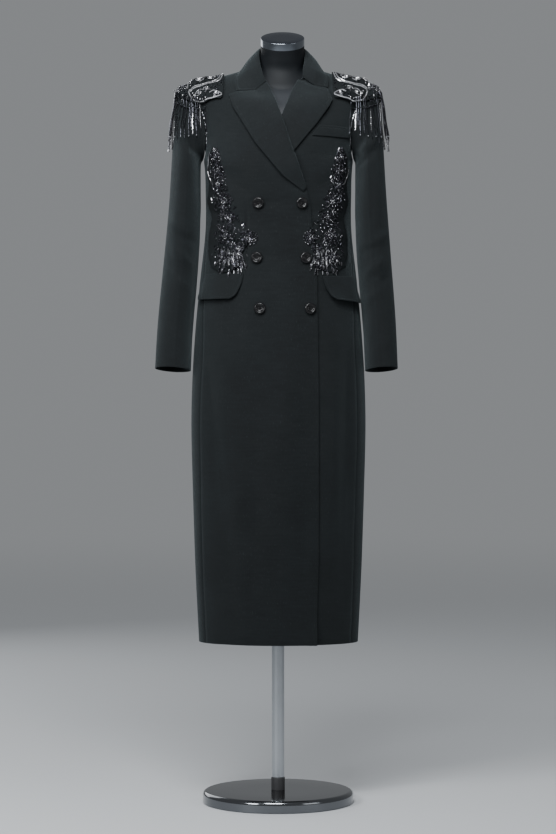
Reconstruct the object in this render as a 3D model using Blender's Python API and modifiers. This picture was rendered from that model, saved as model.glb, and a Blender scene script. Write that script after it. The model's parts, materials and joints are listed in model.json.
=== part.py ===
# Double-breasted maxi coat with beaded vines and fringed epaulettes, on a limbless dress form.
# Units are metres, +Z up. The coat faces -Y, and +X is the wearer's left.
# The origin is the centre of the base's underside, on the floor.
import math

import bmesh
import bpy
import numpy as np
from mathutils import Vector
from mathutils.bvhtree import BVHTree

for old in list(bpy.data.objects):
    bpy.data.objects.remove(old, do_unlink=True)

# Cloth
WALL = 0.002  # thickness of the coat's wool
GAP = 0.0003  # between pieces that meet
LAY = 0.0009  # under a piece that lies on another

# The coat's outer surface, as rings from the hem up to the neckline. Each ring is flat up to the
# underarm and tilts above it, so that its sides run in along the shoulder seam.
COLUMNS = ("side_z", "front_z", "back_z", "half_width", "front_depth", "back_depth", "fullness", "centre_x")
RINGS = (
    (0.365, 0.365, 0.365, 0.1780, 0.114, 0.124, 0.14, 0.001),  # hem
    (0.530, 0.530, 0.530, 0.1865, 0.119, 0.130, 0.14, 0.001),
    (0.700, 0.700, 0.700, 0.1925, 0.123, 0.136, 0.14, 0.001),
    (0.840, 0.840, 0.840, 0.1960, 0.126, 0.140, 0.13, 0.001),  # hips
    (0.950, 0.950, 0.950, 0.1938, 0.127, 0.140, 0.12, 0.001),
    (1.060, 1.060, 1.060, 0.1870, 0.125, 0.131, 0.12, 0.001),
    (1.170, 1.170, 1.170, 0.1765, 0.121, 0.114, 0.12, 0.001),  # pockets
    (1.285, 1.285, 1.285, 0.1640, 0.119, 0.101, 0.12, 0.001),  # waist
    (1.370, 1.370, 1.370, 0.1635, 0.129, 0.104, 0.12, 0.001),
    (1.445, 1.445, 1.445, 0.1675, 0.137, 0.112, 0.10, 0.001),  # bust and underarm
    (1.535, 1.500, 1.530, 0.1860, 0.131, 0.119, -0.02, 0.001),
    (1.613, 1.550, 1.590, 0.1980, 0.113, 0.112, -0.26, 0.002),  # shoulder tip
    (1.631, 1.577, 1.630, 0.1380, 0.093, 0.095, -0.22, 0.006),
    (1.652, 1.600, 1.666, 0.0655, 0.073, 0.062, -0.05, 0.009),  # neckline
)
HIP, UNDERARM, SHOULDER, NECKLINE = 3.0, 9.0, 11.0, 13.0
SIDE_SEAM = 64.0  # degrees from the centre front, from the hem to the hip
SEAM_HALF = 0.06  # degrees, half the gap at a side or shoulder seam
ARMHOLE_FRONT, ARMHOLE_BACK = 27.0, 24.0  # how far the armhole reaches from the side, in degrees
FLUTE_DEPTH, FLUTES = 0.0035, 5  # soft drape of the skirt at the hem

# The overlapping front's edge, then the roll line up to the neckline: height and x
RIGHT_EDGE = (
    (0.365, 0.0850), (0.550, 0.0900), (0.910, 0.0900), (1.180, 0.0857), (1.236, 0.0775),
    (1.335, 0.0708), (1.366, 0.0645), (1.527, 0.0079), (1.598, -0.0178), (1.617, -0.0276),
)
LEFT_EDGE = (
    (0.365, -0.0500), (1.180, -0.0500), (1.335, -0.0480), (1.366, -0.0440), (1.527, 0.0085),
    (1.598, 0.0370), (1.617, 0.0476),
)
UNDERLAP_REACH = (-0.112, -0.062)  # the overlap steps out between these x
KICK = 0.007  # how far the overlap's lower corner stands out

# Sleeve rings from the armhole to the cuff
SLEEVE_COLUMNS = ("outer_x", "outer_z", "inner_x", "inner_z", "centre_y", "half_depth", "front_rise")
SLEEVE_RINGS = (
    (0.2000, 1.613, 0.1685, 1.445, 0.002, 0.055, 0.000),  # armhole
    (0.2180, 1.604, 0.1724, 1.438, 0.000, 0.060, 0.000),
    (0.2305, 1.568, 0.1732, 1.422, -0.001, 0.064, 0.000),
    (0.2365, 1.475, 0.1732, 1.390, -0.002, 0.064, 0.001),
    (0.2440, 1.355, 0.1735, 1.320, 0.000, 0.062, 0.001),
    (0.2538, 1.238, 0.1785, 1.215, 0.002, 0.057, 0.000),  # elbow
    (0.2660, 1.090, 0.1905, 1.075, -0.012, 0.051, 0.004),
    (0.2712, 0.979, 0.1950, 0.974, -0.032, 0.046, 0.0065),  # cuff
)
SLEEVE_SPREAD = {-1: 0.004, 1: -0.003}  # the cuff's outer edge, by side
SLEEVE_BLEND = 2.4  # rings over which the armhole's shape fades
SLEEVE_SEAMS, SLEEVE_SEAM_HALF = (98.0, 262.0), 0.2  # turns of the front and back seams, and half a gap
ARMHOLE_CLEAR = 0.0019  # more room for the sleeve at the shoulder tip and the underarm

# Lapels: the roll line and the outer edge from the top down, as x and height
LAPEL_RIGHT = {
    "roll": ((-0.0276, 1.617), (-0.0178, 1.598), (0.0079, 1.527), (0.0350, 1.450), (0.0600, 1.378)),
    "outer": ((-0.1095, 1.585), (-0.0979, 1.556), (-0.0470, 1.474), (0.0112, 1.4045), (0.0545, 1.371)),
    "corner": (-0.0508, 1.5945),
}
LAPEL_LEFT = {
    "roll": ((0.0476, 1.617), (0.0370, 1.598), (0.0085, 1.527), (-0.0080, 1.480), (-0.0175, 1.452)),
    "outer": ((0.1220, 1.583), (0.1100, 1.559), (0.0840, 1.519), (0.0314, 1.455), (0.0120, 1.435)),
    "corner": (0.0684, 1.600),
}
LAPEL_LAY = 0.0012  # under a lapel
LAPEL_ROLL = 0.0035  # how far a lapel swells beside its roll line
LAPEL_PRESSED = (1.500, 1.560)  # the left lapel lies flat below, under the overlap

# Collar, half of it from the centre back round to its front end
COLLAR_COLUMNS = (
    "stand_angle", "fold_x", "fold_y", "fold_z", "mid_x", "mid_y", "mid_z", "edge_angle", "edge_level",
)
COLLAR_ROWS = (
    (180.0, 0.0000, 0.052, 1.702, 0.000, 0.078, 1.683, 180.0, 12.25),
    (140.0, 0.0350, 0.035, 1.701, 0.054, 0.060, 1.681, 138.0, 12.35),
    (95.0, 0.0500, -0.008, 1.691, 0.075, -0.004, 1.671, 92.0, 12.62),
    (60.0, 0.0485, -0.045, 1.655, 0.078, -0.050, 1.641, 63.0, 12.32),
    (38.0, 0.0400, -0.066, 1.628, 0.062, -0.0715, 1.6075, 47.0, 11.92),
)
COLLAR_CENTRE = 0.009
COLLAR_FALL = {-1: 0.0, 1: 0.007}  # how much higher a front corner sits, by side

# Hip pocket flaps: the top and bottom edges' ends, in degrees from the centre front
FLAPS = {
    "flap_right": {"side": -1, "top": (26.2, 68.0), "bottom": (33.0, 75.0), "high": 1.189, "low": 1.134},
    "flap_left": {"side": 1, "top": (34.0, 69.0), "bottom": (41.0, 76.0), "high": 1.183, "low": 1.130},
}
FLAP_LIFT = 0.003  # how far a flap's lower edge stands off the coat
# Breast welt: its ends' x at the top and bottom edge, both edges' heights, and their fall outwards
WELT = {"inner": (0.0905, 0.0745), "outer": (0.1600, 0.1590), "high": 1.5160, "low": 1.4925, "fall": 0.0025}

BUTTON_RADIUS, BUTTON_HEIGHT = 0.0125, 0.0055
# A button's dished section, as shares of its radius and height
BUTTON_PROFILE = (
    (0.0, 0.55), (0.42, 0.55), (0.68, 0.95), (0.84, 1.0), (1.0, 0.62), (0.86, 0.0), (0.0, 0.0),
)
BUTTONS = (
    (-0.0427, 1.345), (0.0520, 1.345), (-0.0461, 1.224), (0.0609, 1.224), (-0.0395, 1.112), (0.0704, 1.112),
)

# Beaded vines on the fronts: height, then the inner and outer edge's distance from the centre
VINE_WIDTHS = (
    (1.470, 0.138, 0.144), (1.452, 0.131, 0.152), (1.420, 0.122, 0.156), (1.385, 0.124, 0.152),
    (1.350, 0.108, 0.157), (1.312, 0.104, 0.146), (1.280, 0.066, 0.152), (1.262, 0.060, 0.154),
    (1.232, 0.078, 0.154), (1.205, 0.085, 0.148), (1.193, 0.103, 0.128),
)
VINE_LAY, VINE_BASE, VINE_RAISE = 0.0013, 0.0012, 0.0026
VINE_ROUND = 0.168  # the waist's radius, for points evenly spaced round it
VINE_FROM_EDGE = 0.004  # the left vine stays this far from the overlap's edge
# Raised flowers on a vine: distance from the centre, height and radius
VINE_FLOWERS = (
    (0.141, 1.447, 0.012), (0.138, 1.417, 0.018), (0.140, 1.385, 0.013), (0.132, 1.350, 0.023),
    (0.124, 1.315, 0.015), (0.131, 1.272, 0.023), (0.085, 1.269, 0.019), (0.104, 1.244, 0.016),
    (0.134, 1.226, 0.018), (0.105, 1.212, 0.014),
)

# Epaulettes, on the shoulder from the neck side out: x, then the front and back edges' turn in
# degrees about the shoulder's own axis, 0 straight up and 90 straight forward
SHOULDER_AXIS_Z = 1.545
EPAULETTE_ROWS = (
    (0.1210, 22.0, -10.0), (0.1245, 55.0, -24.0), (0.1380, 54.0, -32.0), (0.1540, 60.0, -36.0),
    (0.1660, 70.0, -37.0), (0.1800, 67.0, -36.0), (0.1960, 56.0, -34.0), (0.2080, 42.0, -28.0),
    (0.2130, 24.0, -16.0),
)
EPAULETTE_SEAM, FRINGE_SEAM = 0.004, 0.001  # how far aside to look for the cloth, over a seam's gap
EPAULETTE_LAY, EPAULETTE_BASE, EPAULETTE_RAISE = 0.0010, 0.0014, 0.0022

# Fringe under the epaulette's edge: its strip's turn about the upright axis, 0 straight out and
# -90 straight forward, its height there and the strands' length
FRINGE_PATH = (
    (-112.0, 1.553, 0.046), (-80.0, 1.557, 0.062), (-45.0, 1.570, 0.088), (0.0, 1.582, 0.100),
    (40.0, 1.586, 0.112), (70.0, 1.586, 0.090),
)
FRINGE_AXIS_X = 0.190
FRINGE_STRANDS, STRAND_PARTS = 26, 4
STRAND_TAPER, STRAND_UNEVEN = 0.92, 0.10
STRIP_LAY, STRIP_HEIGHT, STRIP_THICK = 0.0007, 0.005, 0.0016
STRAND_LAY = 0.0028

# Dress form: how far it lies inside the coat's wall, by ring
FORM_EASE = (
    (3.0, 0.012), (6.0, 0.010), (7.0, 0.008), (9.0, 0.0050), (10.0, 0.0032), (11.0, 0.0024),
    (12.0, 0.0016), (13.0, 0.0010),
)
FORM_BOTTOM_LEVEL, FORM_BOTTOM_Z = 3.35, 0.850
FORM_BOTTOM = ((0.97, 0.866), (0.88, 0.853), (0.80, FORM_BOTTOM_Z))  # its rounded lower edge
NECK_TILT = 22.0
# Neck rings above the neckline: centre x, y, z and radius
NECK_RINGS = (
    (0.0093, -0.0060, 1.6580, 0.0530), (0.0098, -0.0160, 1.6820, 0.0492), (0.0102, -0.0247, 1.7008, 0.0487),
)
CAP_RADIUS, CAP_THICK, CAP_EDGE = 0.0487, 0.016, 0.0012

# Stand
BASE_RADIUS, BASE_THICK, BASE_EDGE = 0.170, 0.027, 0.010
FOOT_RADIUS, FOOT_HEIGHT, FOOT_EDGE = 0.0155, 0.029, 0.0015
POLE_RADIUS = 0.014

parts = bpy.data.collections.new("maxi_coat_on_form")
bpy.context.scene.collection.children.link(parts)


def principled(name, colour, roughness, metallic=0.0):
    made = bpy.data.materials.new(name)
    made.use_nodes = True
    shader = made.node_tree.nodes["Principled BSDF"]
    shader.inputs["Base Color"].default_value = (*colour, 1.0)
    shader.inputs["Roughness"].default_value = roughness
    shader.inputs["Metallic"].default_value = metallic
    return made


WOOL = principled("black_wool", (0.022, 0.026, 0.029), 0.9)
BEADS = principled("glass_beads", (0.16, 0.16, 0.18), 0.25, 0.5)
SILVER_BEADS = principled("silver_beads", (0.62, 0.62, 0.64), 0.25, 0.8)
BUTTON_HORN = principled("black_buttons", (0.012, 0.012, 0.013), 0.2)
FORM_SKIN = principled("form_gloss_black", (0.03, 0.032, 0.036), 0.25)
CAP_STEEL = principled("cap_steel", (0.55, 0.58, 0.62), 0.12, 1.0)
POLE_STEEL = principled("pole_steel", (0.62, 0.64, 0.66), 0.3, 1.0)
BASE_STEEL = principled("base_steel", (0.42, 0.43, 0.45), 0.14, 1.0)
FOOT_RUBBER = principled("foot_black", (0.02, 0.02, 0.022), 0.5)


def through_rows(table, at):
    """A smooth value between a table's rows, which passes through each of them."""
    rows = np.asarray(table)
    last = len(rows) - 1
    i = min(max(int(at), 0), last - 1)
    f = at - i
    before, here, there, after = rows[max(i - 1, 0)], rows[i], rows[i + 1], rows[min(i + 2, last)]
    square = (2 * before - 5 * here + 4 * there - after) * f**2
    cube = (3 * here - before - 3 * there + after) * f**3
    return 0.5 * (2 * here + (there - before) * f + square + cube)


def ease(value, low, high):
    """0 below low, 1 above high, and a soft step between them."""
    f = min(max((value - low) / (high - low), 0.0), 1.0)
    return f * f * (3 - 2 * f)


def along(points, at):
    """The point a share of the way along a polyline, counted by length."""
    points = np.asarray(points)
    reached = np.concatenate([[0.0], np.cumsum(np.linalg.norm(np.diff(points, axis=0), axis=1))])
    return np.array([np.interp(at * reached[-1], reached, points[:, k]) for k in range(points.shape[1])])


# The coat's surface

def coat_surface(angle, level):
    """The outer surface: degrees round from the centre front towards +X, and rings up from the hem."""
    side_z, front_z, back_z, half, front, back, fullness, centre = through_rows(RINGS, level)
    s, c = math.sin(math.radians(angle)), math.cos(math.radians(angle))
    depth, end_z = (front, front_z) if c > 0 else (back, back_z)
    wave = math.cos(math.radians(FLUTES * angle)) * abs(s) ** 0.5
    flute = FLUTE_DEPTH * (1 - ease(level, 0.0, HIP)) * wave
    grow = 1 + flute / half
    y = -depth * c * (1 + fullness * s * s)
    return np.array((centre + half * s * grow, y * grow, side_z + (end_z - side_z) * c * c))


def coat_normal(angle, level):
    step = 0.02
    below, above = max(level - step, 0.0), min(level + step, NECKLINE)
    across = coat_surface(angle + 1, level) - coat_surface(angle - 1, level)
    up = coat_surface(angle, above) - coat_surface(angle, below)
    normal = np.cross(across, up)
    return normal / np.linalg.norm(normal)


def coat_point(angle, level, out=0.0):
    return coat_surface(angle, level) + out * coat_normal(angle, level)


def angle_at(x, level):
    ring = through_rows(RINGS, level)
    half, centre = ring[COLUMNS.index("half_width")], ring[COLUMNS.index("centre_x")]
    return math.degrees(math.asin(min(max((x - centre) / half, -1.0), 1.0)))


def on_front(x, z, out=0.0):
    """The point of the front's surface at this x and height, moved out."""
    low, high = 0.0, NECKLINE
    for _ in range(30):
        level = (low + high) / 2
        if coat_surface(angle_at(x, level), level)[2] < z:
            low = level
        else:
            high = level
    return coat_point(angle_at(x, level), level, out)


def edge_angle(edge, level):
    """Where a front's edge crosses a ring."""
    heights, places = zip(*edge)
    angle = 0.0
    for _ in range(8):
        angle = angle_at(np.interp(coat_surface(angle, level)[2], heights, places), level)
    return angle


def side_angle(level, reach):
    """The side seam, the armhole and the shoulder seam, in degrees from the front or from the back."""
    if level <= UNDERARM:
        return SIDE_SEAM + (90 - SIDE_SEAM) * ease(level, 4.5, UNDERARM)
    if level >= SHOULDER:
        return 90.0
    return 90 - reach * math.sqrt(max(1 - (level - 10) ** 2, 0.0))


def overlap_lift(x, z):
    """How far the right front stands out, over the underlap and the left lapel."""
    over = ease(x, *UNDERLAP_REACH) * (1 - ease(z, 1.555, 1.6))
    crossing = ease(x, -0.08, -0.035) * ease(z, 1.37, 1.43) * (1 - ease(z, 1.55, 1.6))
    corner = ease(x, 0.045, 0.09) * (1 - ease(z, 0.365, 0.43))
    return over * (WALL + LAY) + crossing * (WALL + LAY) + KICK * corner


def cloth_tree(names):
    """The built surface of these pieces, for what is laid on them."""
    made = bmesh.new()
    for name in names:
        made.from_mesh(bpy.data.objects[name].data)
    tree = BVHTree.FromBMesh(made)
    made.free()
    return tree


def laid_on(tree, place, away, out, reach=0.012):
    """A point out from the pieces in this tree, or from the place itself where none of them is."""
    place, away = Vector(place), Vector(away).normalized()
    hit = tree.ray_cast(place + reach * away, -away, 2 * reach)[0]
    return np.array((hit or place) + float(out) * away)


def laid_on_front(tree, x, z, out, base=0.0):
    place = on_front(x, z, base)
    return laid_on(tree, place, on_front(x, z, 1.0) - on_front(x, z), out)


# Mesh makers

def new_object(name, mesh, material):
    made = bpy.data.objects.new(name, mesh)
    mesh.materials.clear()
    mesh.materials.append(material)
    mesh.shade_smooth()
    mesh.set_sharp_from_angle(angle=math.radians(50))
    parts.objects.link(made)
    return made


def to_mesh(name, made):
    mesh = bpy.data.meshes.new(name)
    made.to_mesh(mesh)
    made.free()
    return mesh


def placed_grid(made, points, flip):
    """A grid of faces in a bmesh, with its vertices at these points, rows first."""
    rows, columns = len(points), len(points[0])
    verts = bmesh.ops.create_grid(made, x_segments=columns - 1, y_segments=rows - 1, size=1.0)["verts"]
    for vert, place in zip(verts, (place for row in points for place in row)):
        vert.co = place
    faces = list({face for vert in verts for face in vert.link_faces})
    if flip:
        bmesh.ops.reverse_faces(made, faces=faces)
    return verts


def cloth_wall(name, outer, inner, material):
    """A wall between two grids of points."""
    made = bmesh.new()
    rows, columns = len(outer), len(outer[0])
    faces_out = placed_grid(made, outer, False)
    faces_in = placed_grid(made, inner, True)

    def at(side, row, column):
        return (faces_out, faces_in)[side][row * columns + column]

    near = [(0, c) for c in range(columns)]
    right = [(r, columns - 1) for r in range(rows)]
    far = [(rows - 1, c) for c in reversed(range(columns))]
    left = [(r, 0) for r in reversed(range(rows))]
    border = near[:-1] + right[:-1] + far[:-1] + left
    for here, there in zip(border, border[1:]):
        made.faces.new((at(0, *there), at(0, *here), at(1, *here), at(1, *there)))
    if made.calc_volume(signed=True) < 0:
        bmesh.ops.reverse_faces(made, faces=made.faces)
    return new_object(name, to_mesh(name, made), material)


def turned(name, profile, material, steps):
    """A profile of radius and height, spun about +Z, from the top down."""
    made = bmesh.new()
    verts = [made.verts.new((radius, 0.0, height)) for radius, height in profile]
    for a, b in zip(verts, verts[1:]):
        made.edges.new((a, b))
    spun = new_object(name, to_mesh(name, made), material)
    screw = spun.modifiers.new("Turn", "SCREW")
    screw.steps = screw.render_steps = steps
    screw.use_merge_vertices = True
    screw.merge_threshold = 0.00001
    screw.use_smooth_shade = True
    return spun


# Stand and form

def build_stand():
    radius, edge = BASE_RADIUS - BASE_EDGE, BASE_EDGE
    rim = []
    for degrees in (90, 67.5, 45, 22.5, 0):
        a = math.radians(degrees)
        rim.append((radius + edge * math.cos(a), BASE_THICK - edge + edge * math.sin(a)))
    turned("base_disc", [(0.0, BASE_THICK), *rim, (BASE_RADIUS, 0.0), (0.0, 0.0)], BASE_STEEL, 48)
    low = BASE_THICK + GAP
    high = low + FOOT_HEIGHT
    shoulder = [(FOOT_RADIUS - FOOT_EDGE, high), (FOOT_RADIUS, high - FOOT_EDGE)]
    turned("pole_collar", [(0.0, high), *shoulder, (FOOT_RADIUS, low), (0.0, low)], FOOT_RUBBER, 24)
    low, high = high + GAP, FORM_BOTTOM_Z - GAP
    turned("pole", [(0.0, high), (POLE_RADIUS, high), (POLE_RADIUS, low), (0.0, low)], POLE_STEEL, 32)


def tilted_ring(centre, radius, count):
    """A ring of the neck, tipped forward, starting from its front."""
    tilt = math.radians(NECK_TILT)
    forward = np.array((0.0, -math.cos(tilt), -math.sin(tilt)))
    sideways = np.array((1.0, 0.0, 0.0))
    ring = []
    for k in range(count):
        a = 2 * math.pi * k / count
        ring.append(np.array(centre) + radius * (math.sin(a) * sideways + math.cos(a) * forward))
    return ring


def build_form():
    count = 28
    levels, eases = zip(*FORM_EASE)
    rings = []
    shoulders = (9.5, 10.0, 10.4, 10.7, 11.0, 11.4, 12.0, 12.5, NECKLINE)
    for level in (*np.linspace(FORM_BOTTOM_LEVEL, UNDERARM, 11), *shoulders):
        inset = WALL + np.interp(level, levels, eases)
        rings.append([coat_point(360 * k / count, level, -inset) for k in range(count)])
    bottom = rings[0]
    middle = np.mean(bottom, axis=0)
    for share, height in FORM_BOTTOM:
        shrunk = [middle + share * (place - middle) for place in bottom]
        rings.insert(0, [np.array((x, y, height)) for x, y, _ in shrunk])
    for x, y, z, radius in NECK_RINGS:
        rings.append(tilted_ring((x, y, z), radius, count))
    made = bmesh.new()
    points = [[*ring, ring[0]] for ring in rings]
    verts = placed_grid(made, points, False)
    top = (len(rings) - 1) * (count + 1)
    made.faces.new(verts[:count][::-1])
    made.faces.new(verts[top:top + count])
    bmesh.ops.remove_doubles(made, verts=made.verts, dist=1e-6)
    new_object("form_torso", to_mesh("form_torso", made), FORM_SKIN)


def build_cap():
    x, y, z, _ = NECK_RINGS[-1]
    rim = [(CAP_RADIUS - CAP_EDGE, CAP_THICK), (CAP_RADIUS, CAP_THICK - CAP_EDGE), (CAP_RADIUS, 0.0)]
    profile = [(0.0, CAP_THICK), *rim, (0.0, 0.0)]
    cap = turned("neck_cap", profile, CAP_STEEL, 32)
    tilt = math.radians(NECK_TILT)
    cap.location = (x, y - GAP * math.sin(tilt), z + GAP * math.cos(tilt))
    cap.rotation_euler = (tilt, 0.0, 0.0)


# Coat panels

def panel_levels():
    skirt = [0.0, 0.7, 1.5, 2.3, 3.1, 4.0, 4.8]
    waist = [5.4, 5.9, 6.4, 6.8, 7.2, 7.6, 8.1, 8.6, UNDERARM]
    armhole = [10 - math.cos(math.pi * k / 9) for k in range(1, 10)]
    shoulder = [11.5, 12.0, 12.5, NECKLINE]
    return [*skirt, *waist, *armhole, *shoulder]


def build_panel(name, start_angle, end_angle, columns, lift=None):
    outer, inner = [], []
    for level in panel_levels():
        start, end = start_angle(level), end_angle(level)
        outer_row, inner_row = [], []
        for angle in np.linspace(start, end, columns):
            place = coat_surface(angle, level)
            out = lift(place[0], place[2]) if lift else 0.0
            outer_row.append(coat_point(angle, level, out))
            inner_row.append(coat_point(angle, level, out - WALL))
        outer.append(outer_row)
        inner.append(inner_row)
    return cloth_wall(name, outer, inner, WOOL)


def build_body():
    def front_side(level):
        return side_angle(level, ARMHOLE_FRONT) - SEAM_HALF

    def right_edge(level):
        return edge_angle(RIGHT_EDGE, level)

    def left_edge(level):
        return edge_angle(LEFT_EDGE, level)

    def back_edge(level):
        if level <= UNDERARM:
            return side_angle(level, 0.0) + SEAM_HALF
        if level >= SHOULDER:
            return 90 + SEAM_HALF
        return 180 - side_angle(level, ARMHOLE_BACK)

    build_panel("front_right", lambda level: -front_side(level), right_edge, 12, overlap_lift)
    build_panel("front_left", left_edge, front_side, 11)
    build_panel("back", back_edge, lambda level: 360 - back_edge(level), 15)


# Sleeves

def armhole_point(side, turn):
    """The armhole, by its turn: 0 at the shoulder tip, 90 at the front, 180 at the underarm."""
    s, c = math.sin(math.radians(turn)), math.cos(math.radians(turn))
    reach = ARMHOLE_FRONT if s > 0 else ARMHOLE_BACK
    place = coat_surface(side * (90 - reach * s), 10 + c)
    place[0] += side * (GAP + ARMHOLE_CLEAR * c * c)
    return place


def sleeve_surface(side, turn, ring):
    outer_x, outer_z, inner_x, inner_z, centre_y, half_depth, rise = through_rows(SLEEVE_RINGS, ring)
    outer_x += SLEEVE_SPREAD[side] * ease(ring, 4.0, 7.0)
    s, c = math.sin(math.radians(turn)), math.cos(math.radians(turn))

    def oval(x_out, z_out, x_in, z_in, y, depth, lift):
        x = (x_out + x_in) / 2 + (x_out - x_in) / 2 * c
        z = (z_out + z_in) / 2 + (z_out - z_in) / 2 * c + lift * s
        return np.array((side * x, y - depth * s, z))

    place = oval(outer_x, outer_z, inner_x, inner_z, centre_y, half_depth, rise)
    if ring < SLEEVE_BLEND:
        start = oval(*SLEEVE_RINGS[0])
        place = place + (armhole_point(side, turn) - start) * (1 - ring / SLEEVE_BLEND) ** 2
    return place


def sleeve_point(side, turn, ring, out=0.0):
    step = 0.02
    last = len(SLEEVE_RINGS) - 1.0
    round_it = sleeve_surface(side, turn + 2, ring) - sleeve_surface(side, turn - 2, ring)
    lower, upper = min(ring + step, last), max(ring - step, 0.0)
    down = sleeve_surface(side, turn, lower) - sleeve_surface(side, turn, upper)
    normal = side * np.cross(down, round_it)
    return sleeve_surface(side, turn, ring) + out * normal / np.linalg.norm(normal)


def build_sleeve(letter, side):
    """A top sleeve over the outside of the arm and an undersleeve between the two seams."""
    rings = [0.0, 0.35, 0.7, 1.1, 1.6, 2.2, 3.0, 3.7, 4.4, 5.0, 5.6, 6.3, 7.0]
    front, rear = SLEEVE_SEAMS
    for name, start, end, columns in (("sleeve", rear, front + 360, 13), ("undersleeve", front, rear, 8)):
        turns = np.linspace(start + SLEEVE_SEAM_HALF, end - SLEEVE_SEAM_HALF, columns)
        outer = [[sleeve_point(side, turn, ring) for turn in turns] for ring in reversed(rings)]
        inner = [[sleeve_point(side, turn, ring, -WALL) for turn in turns] for ring in reversed(rings)]
        cloth_wall(f"{name}_{letter}", outer, inner, WOOL)


# Lapels, collar, flaps and welt

def build_lapel(name, lapel, under, base, pressed):
    rows, columns = 12, 6
    tree = cloth_tree([under])
    outer, inner = [], []
    corner = np.array(lapel["corner"])
    roll_top, outer_top = np.array(lapel["roll"][0]), np.array(lapel["outer"][0])
    corner_share = (corner - roll_top)[0] / (outer_top - roll_top)[0]
    drop = corner - (roll_top + corner_share * (outer_top - roll_top))
    for i in range(rows):
        down = i / (rows - 1)
        roll, edge = along(lapel["roll"], down), along(lapel["outer"], down)
        outer_row, inner_row = [], []
        for j in range(columns):
            share = np.interp(j, (0, 2, columns - 1), (0, corner_share, 1))
            bend = np.interp(share, (0, corner_share, 1), (0, 1, 0)) * (1 - down) ** 6
            x, z = roll + share * (edge - roll) + bend * drop
            swell = LAPEL_ROLL * math.sin(math.pi * min(share + 0.12, 1.0)) * ease(1 - down, 0.0, 0.25)
            if pressed:
                swell *= ease(z, *LAPEL_PRESSED)
            outer_row.append(laid_on_front(tree, x, z, LAPEL_LAY + swell + WALL, base(x, z)))
            inner_row.append(laid_on_front(tree, x, z, LAPEL_LAY + swell, base(x, z)))
        outer.append(outer_row)
        inner.append(inner_row)
    cloth_wall(name, outer, inner, WOOL)


def build_collar():
    places = np.linspace(-4, 4, 25)
    profile = (0.0, 0.5, 0.8, 1.0, 1.2, 1.6, 2.0, 2.5, 3.0)
    rings = []
    for place in places:
        side = -1 if place < 0 else 1
        row = dict(zip(COLLAR_COLUMNS, through_rows(COLLAR_ROWS, abs(place))))
        high = COLLAR_FALL[side] * ease(abs(place), 2.6, 4.0)
        stand = coat_point(side * row["stand_angle"], NECKLINE) + np.array((0.0, 0.0, 2 * GAP))
        fold = np.array((COLLAR_CENTRE + side * row["fold_x"], row["fold_y"], row["fold_z"]))
        mid = np.array((COLLAR_CENTRE + side * row["mid_x"], row["mid_y"], row["mid_z"] + high))
        edge = coat_point(side * row["edge_angle"], row["edge_level"], LAY + WALL)
        edge[2] += high
        rails = np.array((stand, fold, mid, edge))
        rings.append([through_rows(rails, share) for share in profile])
    points = np.array(rings)
    across = np.gradient(points, axis=0)
    out = np.gradient(points, axis=1)
    normals = np.cross(across, out)
    normals /= np.linalg.norm(normals, axis=2, keepdims=True)
    inner = points - WALL * normals
    cloth_wall("collar", points.swapaxes(0, 1), inner.swapaxes(0, 1), WOOL)


def build_flaps():
    columns, rows = 8, 4
    for name, flap in FLAPS.items():
        side = flap["side"]
        tree = cloth_tree(["front_right" if side < 0 else "front_left", "back"])
        outer, inner = [], []
        for i in range(rows):
            down = i / (rows - 1)
            front = flap["top"][0] + (flap["bottom"][0] - flap["top"][0]) * down**2
            rear = flap["top"][1] + (flap["bottom"][1] - flap["top"][1]) * down
            height = flap["high"] + (flap["low"] - flap["high"]) * down
            outer_row, inner_row = [], []
            for angle in np.linspace(front, rear, columns):
                level = np.interp(height, [ring[0] for ring in RINGS[:10]], range(10))
                place, away = coat_point(side * angle, level), coat_normal(side * angle, level)
                lift = LAY + FLAP_LIFT * down
                outer_row.append(laid_on(tree, place, away, lift + WALL))
                inner_row.append(laid_on(tree, place, away, lift))
            outer.append(outer_row)
            inner.append(inner_row)
        cloth_wall(name, outer, inner, WOOL)


def build_welt():
    columns, rows = 8, 3
    tree = cloth_tree(["front_left"])
    outer, inner = [], []
    for i in range(rows):
        up = i / (rows - 1)
        start = np.interp(up, (0, 1), WELT["inner"][::-1])
        end = np.interp(up, (0, 1), WELT["outer"][::-1])
        outer_row, inner_row = [], []
        for j in range(columns):
            share = j / (columns - 1)
            x = start + (end - start) * share
            z = WELT["low"] + (WELT["high"] - WELT["low"]) * up - WELT["fall"] * share
            outer_row.append(laid_on_front(tree, x, z, LAY + WALL))
            inner_row.append(laid_on_front(tree, x, z, LAY))
        outer.append(outer_row)
        inner.append(inner_row)
    cloth_wall("breast_welt", outer, inner, WOOL)


# Buttons, beading and fringe

def build_buttons():
    radius, height = BUTTON_RADIUS, BUTTON_HEIGHT
    profile = [(radius * across, height * up) for across, up in BUTTON_PROFILE]
    tree = cloth_tree(["front_right"])
    for number, (x, z) in enumerate(BUTTONS, 1):
        button = turned(f"button_{number}", profile, BUTTON_HORN, 16)
        base = laid_on_front(tree, x, z, 2 * GAP)
        axis = Vector(on_front(x, z, 1.0) - on_front(x, z))
        button.location = base
        button.rotation_euler = axis.to_track_quat("Z", "Y").to_euler()


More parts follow.
